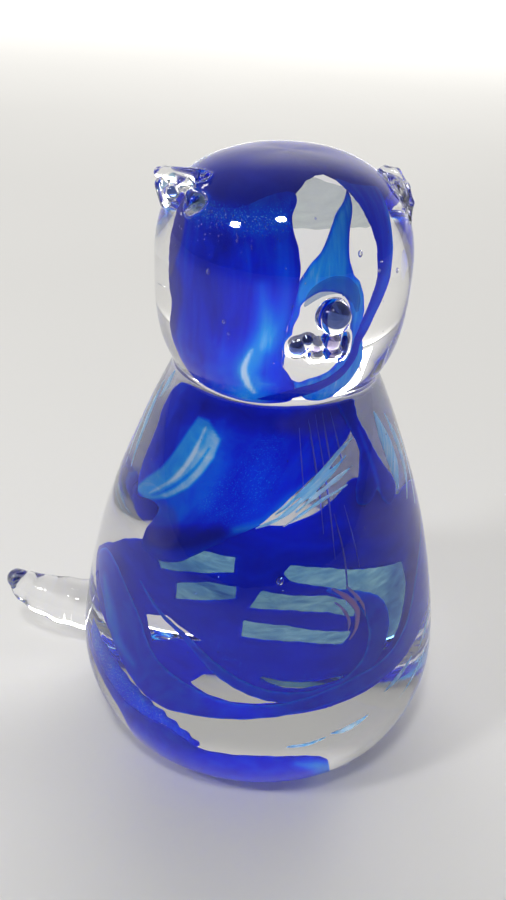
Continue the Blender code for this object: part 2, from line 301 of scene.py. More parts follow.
def add_turned(bm, radius_at, heights, segments=96):
    """Adds a rough closed solid of revolution to start the remesh from."""
    rings = []
    for z in heights:
        radius = max(0.3, float(radius_at(z)))
        ring = []
        for index in range(segments):
            turn = 2.0 * math.pi * index / segments
            ring.append(bm.verts.new((radius * math.cos(turn), radius * math.sin(turn), z)))
        rings.append(ring)
    for lower, upper in zip(rings, rings[1:]):
        for index in range(segments):
            after = (index + 1) % segments
            bm.faces.new((lower[index], lower[after], upper[after], upper[index]))
    bm.faces.new(list(reversed(rings[0])))
    bm.faces.new(rings[-1])


def head_rough(z):
    half = HEIGHT - HEAD_CENTRE if z > HEAD_CENTRE else HEAD_LOWER_HALF
    return HEAD_RADIUS * superellipse((z - HEAD_CENTRE) / half, HEAD_SQUARENESS)


def add_ball(bm, centre, size):
    size = np.array(size, dtype=float) * np.ones(3)
    matrix = Matrix.Translation(Vector(centre)) @ Matrix.Diagonal((*size, 1.0))
    bmesh.ops.create_icosphere(bm, subdivisions=3, radius=1.0, matrix=matrix)


def add_lobe(bm, lobe):
    if lobe[0] == "ball":
        add_ball(bm, lobe[1], lobe[2])
        return
    start, end = np.array(lobe[1], dtype=float), np.array(lobe[2], dtype=float)
    steps = max(3, int(np.linalg.norm(end - start) / 0.7))
    for index in range(steps + 1):
        share = index / steps
        add_ball(bm, start + (end - start) * share, lobe[3] + (lobe[4] - lobe[3]) * share)


def make_skin():
    bm = bmesh.new()
    add_turned(bm, body_radius, np.linspace(0.0, NECK_HEIGHT + 5.0, 60))
    add_turned(bm, head_rough, np.linspace(HEAD_CENTRE - HEAD_LOWER_HALF + 0.1, HEIGHT - 0.02, 60))
    for lobe in EARS[0] + EARS[1] + FACE + TAIL_LIMBS:
        add_lobe(bm, lobe)
    rough = bpy.data.meshes.new("rough")
    bm.to_mesh(rough)
    bm.free()
    start = new_object("rough", rough)
    remesh = start.modifiers.new("Remesh", "REMESH")
    remesh.mode = "VOXEL"
    remesh.voxel_size = VOXEL
    evaluated = start.evaluated_get(bpy.context.evaluated_depsgraph_get())
    mesh = bpy.data.meshes.new_from_object(evaluated)
    bpy.data.objects.remove(start)
    count = len(mesh.vertices)
    points = np.empty(count * 3)
    mesh.vertices.foreach_get("co", points)
    points = points.reshape(-1, 3)
    edges = np.empty(len(mesh.edges) * 2, dtype=int)
    mesh.edges.foreach_get("vertices", edges)
    edges = edges.reshape(-1, 2)
    points, _ = settle(points, 3)
    near = np.bincount(edges.ravel(), minlength=count)
    for _ in range(3):
        total = np.zeros_like(points)
        for axis in range(3):
            total[:, axis] = np.bincount(edges[:, 0], points[edges[:, 1], axis], count)
            total[:, axis] += np.bincount(edges[:, 1], points[edges[:, 0], axis], count)
        points = 0.4 * points + 0.6 * total / near[:, None]
        points, normals = settle(points, 1)
    points, normals = settle(points, 2)
    points[:, 2] = np.maximum(points[:, 2], 0.0)
    mesh.vertices.foreach_set("co", (points * MM).ravel())
    mesh.shade_smooth()
    mesh.update()
    mesh.normals_split_custom_set_from_vertices(normals.tolist())
    return new_object("crystal_glass", mesh)


# Colour layer.


def layer_radius(z):
    z = np.asarray(z, dtype=float)
    drop = np.maximum(0.0, LAYER_FLOOR + LAYER_ROUNDING - z) / LAYER_ROUNDING
    body = LAYER_SHARE * body_radius(z) * superellipse(drop, 3.0)
    half = np.where(z > HEAD_CENTRE, HEAD_LAYER_TOP, HEAD_LAYER_LOWER_HALF)
    head = HEAD_LAYER_RADIUS * superellipse((z - HEAD_CENTRE) / half, HEAD_SQUARENESS)
    blend = np.clip((z - NECK_HEIGHT + 3.0) / 6.0, 0.0, 1.0)
    blend = blend * blend * (3.0 - 2.0 * blend)
    return body * (1.0 - blend) + head * blend


def low_radius(z):
    """Shell of the colour that sweeps round low in the belly."""
    drop = np.maximum(0.0, LOW_TOP - np.asarray(z, dtype=float)) / LOW_ROUNDING
    return LOW_SHARE * body_radius(z) * superellipse(drop, 3.0)


def foot_radius(z):
    """Shell of the colour close inside the foot."""
    return body_radius(z) - FOOT_DEPTH


def shell_points(shell, angle, z, lift):
    """Points a lift outside a shell, at angles in degrees from the front."""
    angle, z, lift = np.broadcast_arrays(angle, z, lift)
    slope = (shell(z + 0.05) - shell(z - 0.05)) / 0.1
    length = np.sqrt(1.0 + slope * slope)
    radius = shell(z) + lift / length
    turn = np.radians(angle)
    high = z - lift * slope / length
    return np.stack([radius * np.sin(turn), -radius * np.cos(turn), high], axis=-1)


def smooth_curve(values, share, closed=False):
    """Values on a smooth curve through rows of numbers, at shares from 0 to 1."""
    values = np.array(values, dtype=float)
    share = np.asarray(share, dtype=float)
    count = len(values)
    place = share * (count if closed else count - 1)
    index = np.floor(place).astype(int)
    if not closed:
        index = np.clip(index, 0, count - 2)
    t = (place - index)[..., None]

    def row(number):
        return values[number % count] if closed else values[np.clip(number, 0, count - 1)]

    before, first, second, after = row(index - 1), row(index), row(index + 1), row(index + 2)
    return 0.5 * (
        2.0 * first
        + (second - before) * t
        + (2.0 * before - 5.0 * first + 4.0 * second - after) * t ** 2
        + (3.0 * first - before - 3.0 * second + after) * t ** 3
    )


def near_curve(angle, z, curve, scale):
    """Distance in millimetres to a line of (angle, height), share along it, and side of it."""
    best = np.full(angle.shape, 1e9)
    along = np.zeros(angle.shape)
    side = np.ones(angle.shape)
    run = 0.0
    for first, second in zip(curve, curve[1:]):
        across = (second[0] - first[0]) * scale
        rise = second[1] - first[1]
        from_a = (angle - first[0]) * scale
        from_z = z - first[1]
        length = across * across + rise * rise + 1e-9
        share = np.clip((from_a * across + from_z * rise) / length, 0.0, 1.0)
        distance = np.hypot(from_a - share * across, from_z - share * rise)
        closer = distance < best
        best = np.where(closer, distance, best)
        along = np.where(closer, run + share, along)
        side = np.where(closer, np.sign(from_a * rise - from_z * across), side)
        run += 1.0
    return best, along / run, side


def inside_curve(angle, z, curve):
    inside = np.zeros(angle.shape, dtype=bool)
    for first, second in zip(curve, curve[1:]):
        if first[1] == second[1]:
            continue
        between = (first[1] > z) != (second[1] > z)
        crossing = first[0] + (z - first[1]) * (second[0] - first[0]) / (second[1] - first[1])
        inside ^= between & (angle < crossing)
    return inside


def sampled(shape):
    """A shape's own curve. Outlines are closed, patches have straight sides, paths carry a width."""
    kind, points = shape
    if kind == "patch":
        return np.array(list(points) + [points[0]], dtype=float)
    count = 6 * len(points)
    return smooth_curve(points, np.linspace(0.0, 1.0, count + 1), closed=kind == "outline")


def shape_field(shape, angle, z, scale):
    """How far inside a shape each point is, in millimetres; negative outside."""
    curve = sampled(shape)
    distance, along, _ = near_curve(angle, z, curve, scale)
    if shape[0] == "path":
        half = np.interp(along, np.linspace(0.0, 1.0, len(curve)), 0.5 * np.maximum(curve[:, 2], 0.0))
        return half - distance
    return np.where(inside_curve(angle, z, curve), distance, -distance)


def cut_triangles(field, triangles):
    """Trims triangles to where a field is positive.

    Returns the faces, and the edges and shares of the new points.
    """
    inside = field > 0.0
    kept = inside[triangles].sum(axis=1)
    one = triangles[kept == 1]
    two = triangles[kept == 2]
    turn = np.array([0, 1, 2])
    one = np.take_along_axis(one, (inside[one].argmax(axis=1)[:, None] + turn) % 3, axis=1)
    two = np.take_along_axis(two, (inside[two].argmin(axis=1)[:, None] + turn) % 3, axis=1)
    edges = np.concatenate([one[:, [0, 1]], one[:, [0, 2]], two[:, [0, 1]], two[:, [0, 2]]])
    edges = np.sort(edges, axis=1)
    edges, index = np.unique(edges, axis=0, return_inverse=True)
    index = index.ravel() + len(field)
    a, b = len(one), len(one) + len(one)
    c = b + len(two)
    faces = [triangles[kept == 3], np.stack([one[:, 0], index[:a], index[a:b]], axis=1)]
    faces.append(np.stack([index[b:c], two[:, 1], two[:, 2]], axis=1))
    faces.append(np.stack([index[b:c], two[:, 2], index[c:]], axis=1))
    share = field[edges[:, 0]] / (field[edges[:, 0]] - field[edges[:, 1]])
    return np.concatenate(faces), edges, share


def waver(angle, z, size, seed):
    """Gentle in-and-out drift of a veil in the glass."""
    turn = np.radians(angle)
    drift = np.sin(2.3 * turn + 0.21 * z + seed)
    drift += 0.6 * np.sin(4.7 * turn - 0.34 * z + 2.0 * seed)
    return size * drift / 1.6


def veil_field(angle, z, scale, shapes, cuts, ragged, seed):
    field = shape_field(shapes[0], angle, z, scale)
    for shape in shapes[1:]:
        field = smooth_max(field, shape_field(shape, angle, z, scale), 0.5)
    for shape in cuts:
        field = smooth_min(field, -shape_field(shape, angle, z, scale), 0.4)
    wobble = np.sin(0.9 * angle * scale + 1.3 * z + seed) + np.sin(2.1 * z - 1.7 * angle * scale + 3.0 * seed)
    return field + 0.5 * ragged * wobble


def painted(angle, z, scale, strokes):
    """Sum of soft-edged strokes, each an amount, a softness in millimetres and a shape."""
    total = np.zeros(angle.shape)
    for amount, softness, shape in strokes:
        share = np.clip(0.5 + shape_field(shape, angle, z, scale) / softness, 0.0, 1.0)
        total += amount * share * share * (3.0 - 2.0 * share)
    return total


def veil(name, shell, shapes, cuts=(), thick=0.5, lift=0.0, drift=0.3, seed=1.0, step=0.4, ragged=0.08,
         light=(), haze=(), speck=(), edge_highlight=0.0, flow=None):
    """Closed thin sheet of colour lying on a shell, thinning to nothing at its edges."""
    curves = [sampled(shape) for shape in shapes]
    margin = max([0.5 * curve[:, 2].max() for curve in curves if curve.shape[1] > 2] + [0.0]) + 1.0
    every = np.concatenate([curve[:, :2] for curve in curves])
    low_z = every[:, 1].min() - margin
    high_z = every[:, 1].max() + margin
    widest = np.radians(1.0) * shell(np.linspace(low_z, high_z, 50)).max()
    side = margin / widest * 1.6
    columns = int((np.ptp(every[:, 0]) + 2.0 * side) * widest / step)
    lines = int((high_z - low_z) / step)
    angle, z = np.meshgrid(
        np.linspace(every[:, 0].min() - side, every[:, 0].max() + side, columns),
        np.linspace(low_z, high_z, lines),
    )
    angle, z = angle.ravel(), z.ravel()
    scale = np.radians(1.0) * np.maximum(shell(z), 3.0)
    field = veil_field(angle, z, scale, shapes, cuts, ragged, seed)
    corner = (np.arange(lines - 1)[:, None] * columns + np.arange(columns - 1)[None, :]).ravel()
    lower = np.stack([corner, corner + 1, corner + columns + 1], axis=1)
    upper = np.stack([corner, corner + columns + 1, corner + columns], axis=1)
    faces, edges, share = cut_triangles(field, np.concatenate([lower, upper]))
    cut_angle = angle[edges[:, 0]] + share * (angle[edges[:, 1]] - angle[edges[:, 0]])
    cut_z = z[edges[:, 0]] + share * (z[edges[:, 1]] - z[edges[:, 0]])
    angle = np.concatenate([angle, cut_angle])
    z = np.concatenate([z, cut_z])
    field = np.concatenate([np.maximum(field, 1e-4), np.zeros(len(edges))])
    used, faces = np.unique(faces, return_inverse=True)
    faces = faces.reshape(-1, 3)
    angle, z, field = angle[used], z[used], field[used]
    rim_point = field <= 0.0
    scale = np.radians(1.0) * np.maximum(shell(z), 3.0)
    share = np.clip(field / (1.4 * thick), 0.0, 1.0)
    half = 0.5 * thick * np.sqrt(share * (2.0 - share))
    middle = lift + waver(angle, z, drift, seed)
    outer = shell_points(shell, angle, z, middle + half)
    inner = shell_points(shell, angle, z, middle - half)[~rim_point]
    back = np.arange(len(angle))
    back[~rim_point] = len(angle) + np.arange(len(inner))
    mesh = bpy.data.meshes.new(name)
    both = np.concatenate([faces, back[faces[:, ::-1]]])
    mesh.from_pydata((np.concatenate([outer, inner]) * MM).tolist(), [], both.tolist())
    mesh.shade_smooth()
    if flow is None:
        run = np.stack([angle * scale, z, field], axis=1)
    else:
        distance, along, hand = near_curve(angle, z, sampled(flow), scale)
        run = np.stack([distance * hand, along * flow_length(flow, shell), field], axis=1)
    # The last term paints a highlight, a lighter line along the sheet's edge; where it is negative it darkens
    # the edge instead.
    tone = painted(angle, z, scale, light) + edge_highlight * np.clip(1.0 - field / 0.5, 0.0, 1.0)
    mist = painted(angle, z, scale, haze)
    dots = painted(angle, z, scale, speck)
    for key, values in (("flow", run), ("light", tone), ("haze", mist), ("speck", dots)):
        write_attribute(mesh, key, np.concatenate([values, values[~rim_point]]))
    return new_object(name, mesh)


def write_attribute(mesh, key, values):
    vector = values.ndim > 1
    layer = mesh.attributes.new(key, "FLOAT_VECTOR" if vector else "FLOAT", "POINT")
    layer.data.foreach_set("vector" if vector else "value", values.ravel())


def flow_length(shape, shell):
    """Rough length of a path on its shell, in millimetres."""
    curve = sampled(shape)
    points = shell_points(shell, curve[:, 0], curve[:, 1], np.zeros(len(curve)))
    return np.linalg.norm(np.diff(points, axis=0), axis=1).sum()


# Materials.

WHITE = (1.0, 1.0, 1.0, 1.0)
GLASS_INDEX = 1.5
WAVE_SCALE = 140.0
WAVE_STRENGTH = 0.12
WAVE_DEPTH = 0.0002
STREAK_DETAIL = 6.0
STREAK_ROUGHNESS = 0.55
STREAK_DISTORTION = 0.5
SPECK_SCALE = 4.5
SPECK_START = 0.56
SPECK_FULL = 0.72
FINE_DETAIL = 2.0
COBALT_ROUGHNESS = 0.5
COBALT_THROUGH = 0.6
FLOOR_GRAIN = 30.0
FLOOR_ROUGHNESS = 0.7
FLOOR_STOPS = [(0.0, (0.69, 0.685, 0.67)), (1.0, (0.75, 0.745, 0.73))]


def material(name):
    made = bpy.data.materials.new(name)
    made.use_nodes = True
    nodes = made.node_tree.nodes
    return made, nodes, made.node_tree.links, nodes["Principled BSDF"]


def set_inputs(node, values):
    """Sets a node's own sockets, by name or number."""
    for key, value in values.items():
        node.inputs[key].default_value = value


def add_node(nodes, kind, values, operation=None):
    made = nodes.new("ShaderNode" + kind)
    if operation:
        made.operation = operation
    set_inputs(made, values)
    return made


def read_attribute(nodes, key):
    made = nodes.new("ShaderNodeAttribute")
    made.attribute_name = key
    return made


def make_clear(shader, index):
    set_inputs(shader, {"Roughness": 0.0, "IOR": index, "Transmission Weight": 1.0})


def clear_glass():
    made, nodes, links, shader = material("clear_crystal")
    set_inputs(shader, {"Base Color": WHITE})
    make_clear(shader, GLASS_INDEX)
    where = nodes.new("ShaderNodeTexCoord")
    noise = add_node(nodes, "TexNoise", {"Scale": WAVE_SCALE, "Detail": FINE_DETAIL})
    bump = add_node(nodes, "Bump", {"Strength": WAVE_STRENGTH, "Distance": WAVE_DEPTH})
    links.new(where.outputs["Object"], noise.inputs["Vector"])
    links.new(noise.outputs["Fac"], bump.inputs["Height"])
    links.new(bump.outputs["Normal"], shader.inputs["Normal"])
    return made


def tone_nodes(nodes, links, base, contrast, stretch):
    """Lightness of a veil: its painted tone, broken up by streaks along its flow and by fine speckle."""
    flow = read_attribute(nodes, "flow")
    stretched = add_node(nodes, "Mapping", {"Scale": stretch})
    noise = add_node(nodes, "TexNoise", {
        "Scale": 1.0,
        "Detail": STREAK_DETAIL,
        "Roughness": STREAK_ROUGHNESS,
        "Distortion": STREAK_DISTORTION,
    })
    links.new(flow.outputs["Vector"], stretched.inputs["Vector"])
    links.new(stretched.outputs["Vector"], noise.inputs["Vector"])
    swing = add_node(nodes, "Math", {1: contrast, 2: base - 0.5 * contrast}, "MULTIPLY_ADD")
    links.new(noise.outputs["Fac"], swing.inputs[0])
    total = add_node(nodes, "Math", {}, "ADD")
    links.new(swing.outputs[0], total.inputs[0])
    links.new(read_attribute(nodes, "light").outputs["Fac"], total.inputs[1])
    fine = add_node(nodes, "TexNoise", {"Scale": SPECK_SCALE, "Detail": FINE_DETAIL})
    dots = add_node(nodes, "MapRange", {"From Min": SPECK_START, "From Max": SPECK_FULL})
    speckled = add_node(nodes, "Math", {}, "MULTIPLY_ADD")
    links.new(flow.outputs["Vector"], fine.inputs["Vector"])
    links.new(fine.outputs["Fac"], dots.inputs["Value"])
    links.new(dots.outputs["Result"], speckled.inputs[0])
    links.new(read_attribute(nodes, "speck").outputs["Fac"], speckled.inputs[1])
    links.new(total.outputs[0], speckled.inputs[2])
    return speckled.outputs[0]


def ramp(nodes, links, source, stops):
    made = nodes.new("ShaderNodeValToRGB")
    elements = made.color_ramp.elements
    while len(elements) < len(stops):
        elements.new(0.5)
    for element, (place, colour) in zip(elements, stops):
        element.position = place
        element.color = (*colour, 1.0)
    links.new(source, made.inputs["Fac"])
    return made


def hazed(nodes, links, colour, haze_colour):
    """Colour turned towards a milky haze where the veil is painted so."""
    haze = read_attribute(nodes, "haze")
    mix = nodes.new("ShaderNodeMix")
    mix.data_type = "RGBA"
    mix.inputs[7].default_value = (*haze_colour, 1.0)
    links.new(haze.outputs["Fac"], mix.inputs[0])
    links.new(colour, mix.inputs[6])
    return mix.outputs[2]


def cobalt(name, base=0.3, contrast=0.3, stretch=(0.5, 0.07, 0.3), haze_colour=(0.16, 0.14, 0.5)):
    """Dense cobalt glass, lit through from behind, with drawn-out streaks of thinner colour."""
    made, nodes, links, shader = material(name)
    tone = tone_nodes(nodes, links, base, contrast, stretch)
    colour = hazed(nodes, links, ramp(nodes, links, tone, COBALT_STOPS).outputs["Color"], haze_colour)
    links.new(colour, shader.inputs["Base Color"])
    set_inputs(shader, {"Roughness": COBALT_ROUGHNESS, "Specular IOR Level": 0.0})
    through = nodes.new("ShaderNodeBsdfTranslucent")
    links.new(colour, through.inputs["Color"])
    mix = add_node(nodes, "MixShader", {0: COBALT_THROUGH})
    links.new(shader.outputs[0], mix.inputs[1])
    links.new(through.outputs[0], mix.inputs[2])
    links.new(mix.outputs[0], nodes["Material Output"].inputs["Surface"])
    return made


def tinted_film(name, stops, base=0.5, contrast=0.8, stretch=(0.8, 0.1, 0.3)):
    """Colour drawn so thin that light passes straight through it."""
    made, nodes, links, shader = material(name)
    tone = tone_nodes(nodes, links, base, contrast, stretch)
    links.new(ramp(nodes, links, tone, stops).outputs["Color"], shader.inputs["Base Color"])
    make_clear(shader, 1.0)
    return made


def bubble_air():
    made, _, _, shader = material("trapped_air")
    set_inputs(shader, {"Base Color": WHITE})
    make_clear(shader, 1.0 / GLASS_INDEX)
    return made


def pale_floor():
    made, nodes, links, shader = material("pale_floor")
    noise = add_node(nodes, "TexNoise", {"Scale": FLOOR_GRAIN})
    tone = ramp(nodes, links, noise.outputs["Fac"], FLOOR_STOPS)
    links.new(tone.outputs["Color"], shader.inputs["Base Color"])
    set_inputs(shader, {"Roughness": FLOOR_ROUGHNESS})
    return made


COBALT_STOPS = [
    (0.0, (0.0, 0.003, 0.20)),
    (0.18, (0.0, 0.014, 0.55)),
    (0.35, (0.0, 0.04, 0.82)),
    (0.5, (0.0, 0.14, 0.92)),
    (0.65, (0.004, 0.32, 0.95)),
    (0.8, (0.06, 0.56, 0.96)),
    (0.92, (0.4, 0.75, 0.97)),
    (1.0, (0.88, 0.96, 1.0)),
]
# Colours of the painted brow shade.
BROW_SHADE_STOPS = [(0.2, (0.26, 0.34, 0.52)), (0.8, (0.62, 0.70, 0.84))]
TEAL_STOPS = [
    (0.0, (0.02, 0.08, 0.40)), (0.35, (0.10, 0.27, 0.52)), (0.65, (0.24, 0.48, 0.62)), (1.0, (0.5, 0.8, 0.8)),
]
GREY_STOPS = [(0.2, (0.52, 0.57, 0.60)), (0.8, (0.70, 0.74, 0.75))]
NAVY_STOPS = [(0.3, (0.03, 0.05, 0.22)), (0.6, (0.10, 0.15, 0.42)), (0.85, (0.4, 0.46, 0.72))]
PURPLE_STOPS = [(0.25, (0.18, 0.14, 0.42)), (0.55, (0.48, 0.42, 0.70)), (0.8, (0.85, 0.82, 0.92))]
STEEL_STOPS = [(0.25, (0.22, 0.38, 0.60)), (0.75, (0.56, 0.72, 0.84))]


def finish_piece(thing, look, slot, *nodes):
    thing.data.materials.clear()
    thing.data.materials.append(look)
    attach(thing, "root")
    if nodes:
        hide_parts(*nodes)
    return thing


# The veils' outlines, as degrees round from the front and millimetres up.

CROWN_RIM = [
    (-180, 101.5), (-150, 101), (-120, 100.5), (-95, 101), (-70, 101.6), (-45, 102.4), (-25, 103.4),
    (-12, 104.8), (-3, 105.5), (12, 105.75), (24, 105.7), (32, 105), (40, 103.4), (52, 102), (66, 101),
    (82, 100.2), (100, 99.8), (120, 100.4), (150, 101.2),
]
HEAD_PANEL = ("outline", [
    (-14, 104.4), (-17, 102.4), (-15, 100.5), (-12, 98.4), (-11, 96.4), (-12, 93.8), (-14, 91), (-16, 87.7),
    (-17.5, 84.5), (-17, 81.8), (-12, 80), (-8, 77.6), (-12, 75), (-28, 73.8), (-50, 73.8), (-68, 74.8),
    (-80, 76.6), (-90, 79.4), (-96, 82.6), (-93, 86.6), (-97, 89.5), (-101, 92.5), (-104, 95), (-106, 97),
    (-109, 98.6), (-108, 101), (-95, 103.2), (-60, 104.6), (-30, 105),
])
PANEL_STREAK = ("path", [
    (-31, 94, 1), (-29, 90.5, 2), (-29, 86.5, 2.6), (-33, 83.2, 3.2), (-37, 80.4, 3.4), (-34, 78.2, 4),
    (-36, 76, 5),
])
PANEL_GLINT = ("path", [(-35, 84, 0.3), (-39, 81, 0.9), (-37, 78.6, 0.9), (-33, 77.2, 0.6)])
PANEL_LOW_LIGHT = ("path", [(-66, 75.5, 4), (-44, 78, 9), (-30, 83, 8), (-22, 88, 4)])
PANEL_THREAD = ("path", [(-30, 78.9, 0.2), (-26, 78.7, 0.7), (-21, 78.8, 0.2)])
PANEL_EDGE_STREAK = ("path", [(-22, 99, 1), (-19, 94, 2), (-22, 89, 2.4), (-26, 85, 1.6)])
PANEL_DARK = ("path", [(-60, 99, 6), (-58, 93, 9), (-52, 87, 6)])
PANEL_SELVAGE = ("outline", [
    (-110, 98.4), (-112, 101), (-98, 100.6), (-92, 98), (-90, 96), (-92, 93.8), (-96, 91), (-102, 92),
    (-108, 95),
])
PANEL_SHADOW = ("outline", [
    (-93, 93), (-84, 91.5), (-82, 88), (-86, 84), (-92, 82), (-99, 83), (-97, 87), (-100, 90.5),
])
CROWN_MIST = ("path", [(-100, 101, 2), (-70, 101, 2.4), (-45, 101.4, 2.6), (-20, 102, 2)])
HEAD_RIBBON = ("path", [
    (52, 103.4, 7), (49, 101, 5.6), (47, 98.4, 4.3), (45, 95.8, 3.6), (42.5, 93.4, 3), (38.5, 91.4, 2.6),
    (34.5, 89.4, 2.3), (30.5, 87.2, 1.9), (26, 84.6, 1.6), (24.5, 82.4, 1.5), (20.5, 80.6, 1.5),
    (13, 79.2, 1.5), (4, 78.3, 1.6), (-6, 77.5, 1.6), (-17, 76.6, 1.5), (-30, 75.8, 1),
])
RIBBON_LIGHT = ("path", [(60, 100, 2), (46, 94, 1.5), (30, 87, 1)])
TEARDROP = ("outline", [
    (37, 104.3), (25, 103.4), (15, 102.6), (10, 101.5), (5, 100), (0, 98.3), (-6, 96.9), (-11, 95),
    (-13, 93), (-14, 90.9), (-16, 87.7), (-17.5, 84.5), (-17, 81.6), (-12, 79.6), (-7, 77.6), (0, 76),
    (7, 75), (14, 74.6), (22, 75.6), (29, 77.6), (35, 80), (36, 81.8), (34, 83.8), (31.5, 85.8), (31, 88),
    (31, 90.3), (27, 93.6), (22, 95.2), (19.5, 97), (19.5, 99), (24, 101), (31, 102.8),
])
TEARDROP_SHADE = ("path", [(33, 103, 1.5), (22, 100, 2.5), (22, 96, 2.5)])
WINDOW = ("outline", [
    (-7, 79), (-14, 80.5), (-16, 82.5), (-15, 84.5), (-13, 86.4), (-12, 88.5), (-10, 90.1), (-9, 91.4),
    (-6, 92.4), (-1, 93.2), (3, 93.4), (9, 93.2), (16, 92.2), (20, 90.5), (22, 88.5), (22, 86.8),
    (20, 84.6), (18, 82.6), (15, 81.4), (12, 80.6), (7, 80.1), (0, 79.6),
])
# Painted shade: a dark arc over the face window, where the glass bending round the nose refracts a dark
# image.
BROW_SHADE = ("path", [
    (-8, 91.8, 0.5), (-4, 93.2, 1.5), (1, 94.1, 2.1), (9, 94.4, 2.4), (16, 93.6, 2.3), (21, 92, 1.6),
    (23, 90.2, 0.6),
])
NAPE = ("outline", [(168, 86), (160, 92), (166, 98), (182, 99), (194, 93), (188, 87), (178, 84.5)])
SHOULDER = ("outline", [
    (-74, 72.4), (-92, 70.8), (-104, 67.8), (-107, 63.6), (-104, 60.4), (-102, 57.3), (-101, 53.7),
    (-99, 50.6), (-95, 48), (-86, 49.3), (-78, 49.6), (-78, 47.5), (-81, 44.5), (-80, 41), (-62, 42),
    (-46, 47), (-34, 50.5), (-24, 52.8), (-14, 56), (-4, 59), (7, 61.5), (18, 63.8), (30, 65.6), (36, 68),
    (40, 71.6), (0, 73.2), (-40, 72.8),
])
STREAK = ("patch", [
    (-70, 67.4), (-61, 67.8), (-50, 65.6), (-52, 62.4), (-57, 59), (-63, 55.8), (-74, 52), (-88, 48.8),
    (-98, 48.4), (-92, 52.2), (-84, 56), (-79, 60), (-75, 63.8),
])
STREAK_GLOW = ("path", [(-50, 68, 2), (-52, 62, 5), (-61, 54.5, 6), (-74, 49.4, 4), (-88, 47.6, 1)])
STREAK_LINES = [
    ("path", [(-62, 66.4, 0.3), (-66, 61, 0.8), (-73, 56, 0.7), (-86, 50.6, 0.2)]),
    ("path", [(-56, 63.6, 0.2), (-62, 59.4, 0.5), (-72, 54.6, 0.5), (-84, 50.4, 0.2)]),
]
SHOULDER_DARK = ("path", [(-70, 71, 3), (-88, 66, 5), (-96, 58, 4), (-98, 52, 2)])
SHOULDER_COLLAR = ("path", [(-66, 69.5, 3), (-40, 69.6, 4), (-10, 70, 3.6), (20, 70.5, 3)])
SHOULDER_MID = ("path", [(-20, 66.5, 4), (-28, 60, 8), (-45, 54, 6)])
HEM_STREAK = ("path", [(6, 60.6, 0.6), (-8, 57.6, 1.8), (-20, 53.6, 1.8), (-34, 51.6, 1)])
HEM_DARK = ("path", [(-78, 44, 3.5), (-60, 47, 3.5), (-42, 50.4, 2.6)])
SHOULDER_SMOKE = ("outline", [(-78, 50), (-68, 51), (-62, 48), (-64, 44.5), (-76, 43), (-80, 45)])
FLANK_LOOP = ("outline", [
    (24, 72), (29, 67.8), (32, 65.2), (34, 62.7), (31, 59.6), (27, 56.8), (26.5, 54.6), (31, 53.4),
    (36, 53.6), (41.5, 54.8), (45, 51.8), (50, 50.4), (56, 51.2), (57.5, 53.8), (52, 57.3), (47, 61.1),
    (42, 65.3), (39, 67.6), (37, 72),
])
LOOP_SEAM = ("path", [(36, 66.5, 0.3), (40, 61, 0.9), (42, 56, 0.9), (42, 54, 0.5)])
WISPS = [
    ("path", [(32, 65.4, 0.2), (20, 64, 0.7), (8, 61.4, 0.9), (-4, 58.4, 0.6), (-16, 55, 0.2)]),
    ("path", [(24, 63, 0.2), (10, 60.4, 1), (-2, 57.6, 0.8), (-14, 54.4, 0.7), (-25, 52.4, 0.2)]),
    ("path", [(28, 61, 0.2), (16, 59.8, 0.7), (4, 57.8, 0.6), (-6, 55.4, 0.2)]),
    ("path", [(22, 58.2, 0.2), (10, 57.2, 0.6), (0, 55.6, 0.5), (-12, 53, 0.2)]),
]
RIM_STREAKS = [
    ("path", [(57, 66.5, 0.4), (60, 62, 2.6), (62, 56, 3), (60, 51.5, 0.8)]),
    ("path", [(70, 64, 0.3), (74, 58, 1.4), (74, 51, 1.4), (68, 47, 0.3)]),
    ("path", [(80, 60, 0.2), (84, 54, 0.8), (82, 47, 0.6), (78, 43, 0.2)]),
]
# Painted highlights: white and cyan streaks along the clear left rim of the body.
LEFT_RIM_HIGHLIGHTS = [
    ("path", [(-120, 66, 0.3), (-117, 60, 1.3), (-113, 54, 1), (-109, 50, 0.3)]),
    ("path", [(-112, 70, 0.3), (-112, 67, 1.6), (-113, 64, 0.3)]),
    ("path", [(-126, 62, 0.2), (-123, 55, 0.8), (-119, 48, 0.2)]),
]
THREADS = [
    ("path", [(2, 70.4, 0.1), (4, 65, 0.3), (6, 58, 0.24), (7, 51, 0.1)]),
    ("path", [(7, 70.8, 0.1), (9, 64, 0.24), (11, 55, 0.3), (12, 46, 0.1)]),
    ("path", [(12, 70.8, 0.1), (13, 66, 0.34), (14, 61, 0.1)]),
    ("path", [(13, 54, 0.1), (16, 48, 0.3), (17, 42, 0.3), (16, 37, 0.1)]),
    ("path", [(18, 70.6, 0.1), (20, 66, 0.3), (21, 62, 0.1)]),
    ("path", [(19, 55, 0.1), (22, 49, 0.24), (24, 43, 0.1)]),
    ("path", [(-4, 69, 0.1), (-3, 63, 0.2), (-2, 57, 0.1)]),
]
FOOT_GLINTS = [
    ("path", [(30, 17.4, 0.3), (38, 18.4, 1.3), (46, 19.8, 0.4)]),
    ("path", [(8, 13.4, 0.3), (15, 13.2, 1.4), (23, 14.2, 0.3)]),
    ("path", [(-8, 12.4, 0.2), (-1, 12.2, 0.8), (6, 12.8, 0.2)]),
    ("path", [(52, 19.4, 0.3), (60, 21.2, 1.3), (70, 22.4, 0.3)]),
    ("path", [(40, 13, 0.2), (50, 15, 0.7), (62, 17.6, 0.2)]),
]
BELLY_WEB = ("outline", [
    (-121, 26), (-114, 31.6), (-104, 35.2), (-95, 38.8), (-83, 42), (-71, 45), (-58, 48), (-44, 50.8),
    (-33, 52.6), (-20, 52.8), (-8, 53.2), (6, 54.8), (18, 56.7), (28, 58.4), (40, 57), (52, 53), (62, 49.8),
    (76, 48.6), (95, 43), (105, 35), (100, 27.5), (83, 21.6), (66, 18.6), (43, 16.6), (15, 15.6),
    (-10, 15.2), (-29, 14.6), (-50, 15.6), (-75, 18), (-100, 20.5),
])
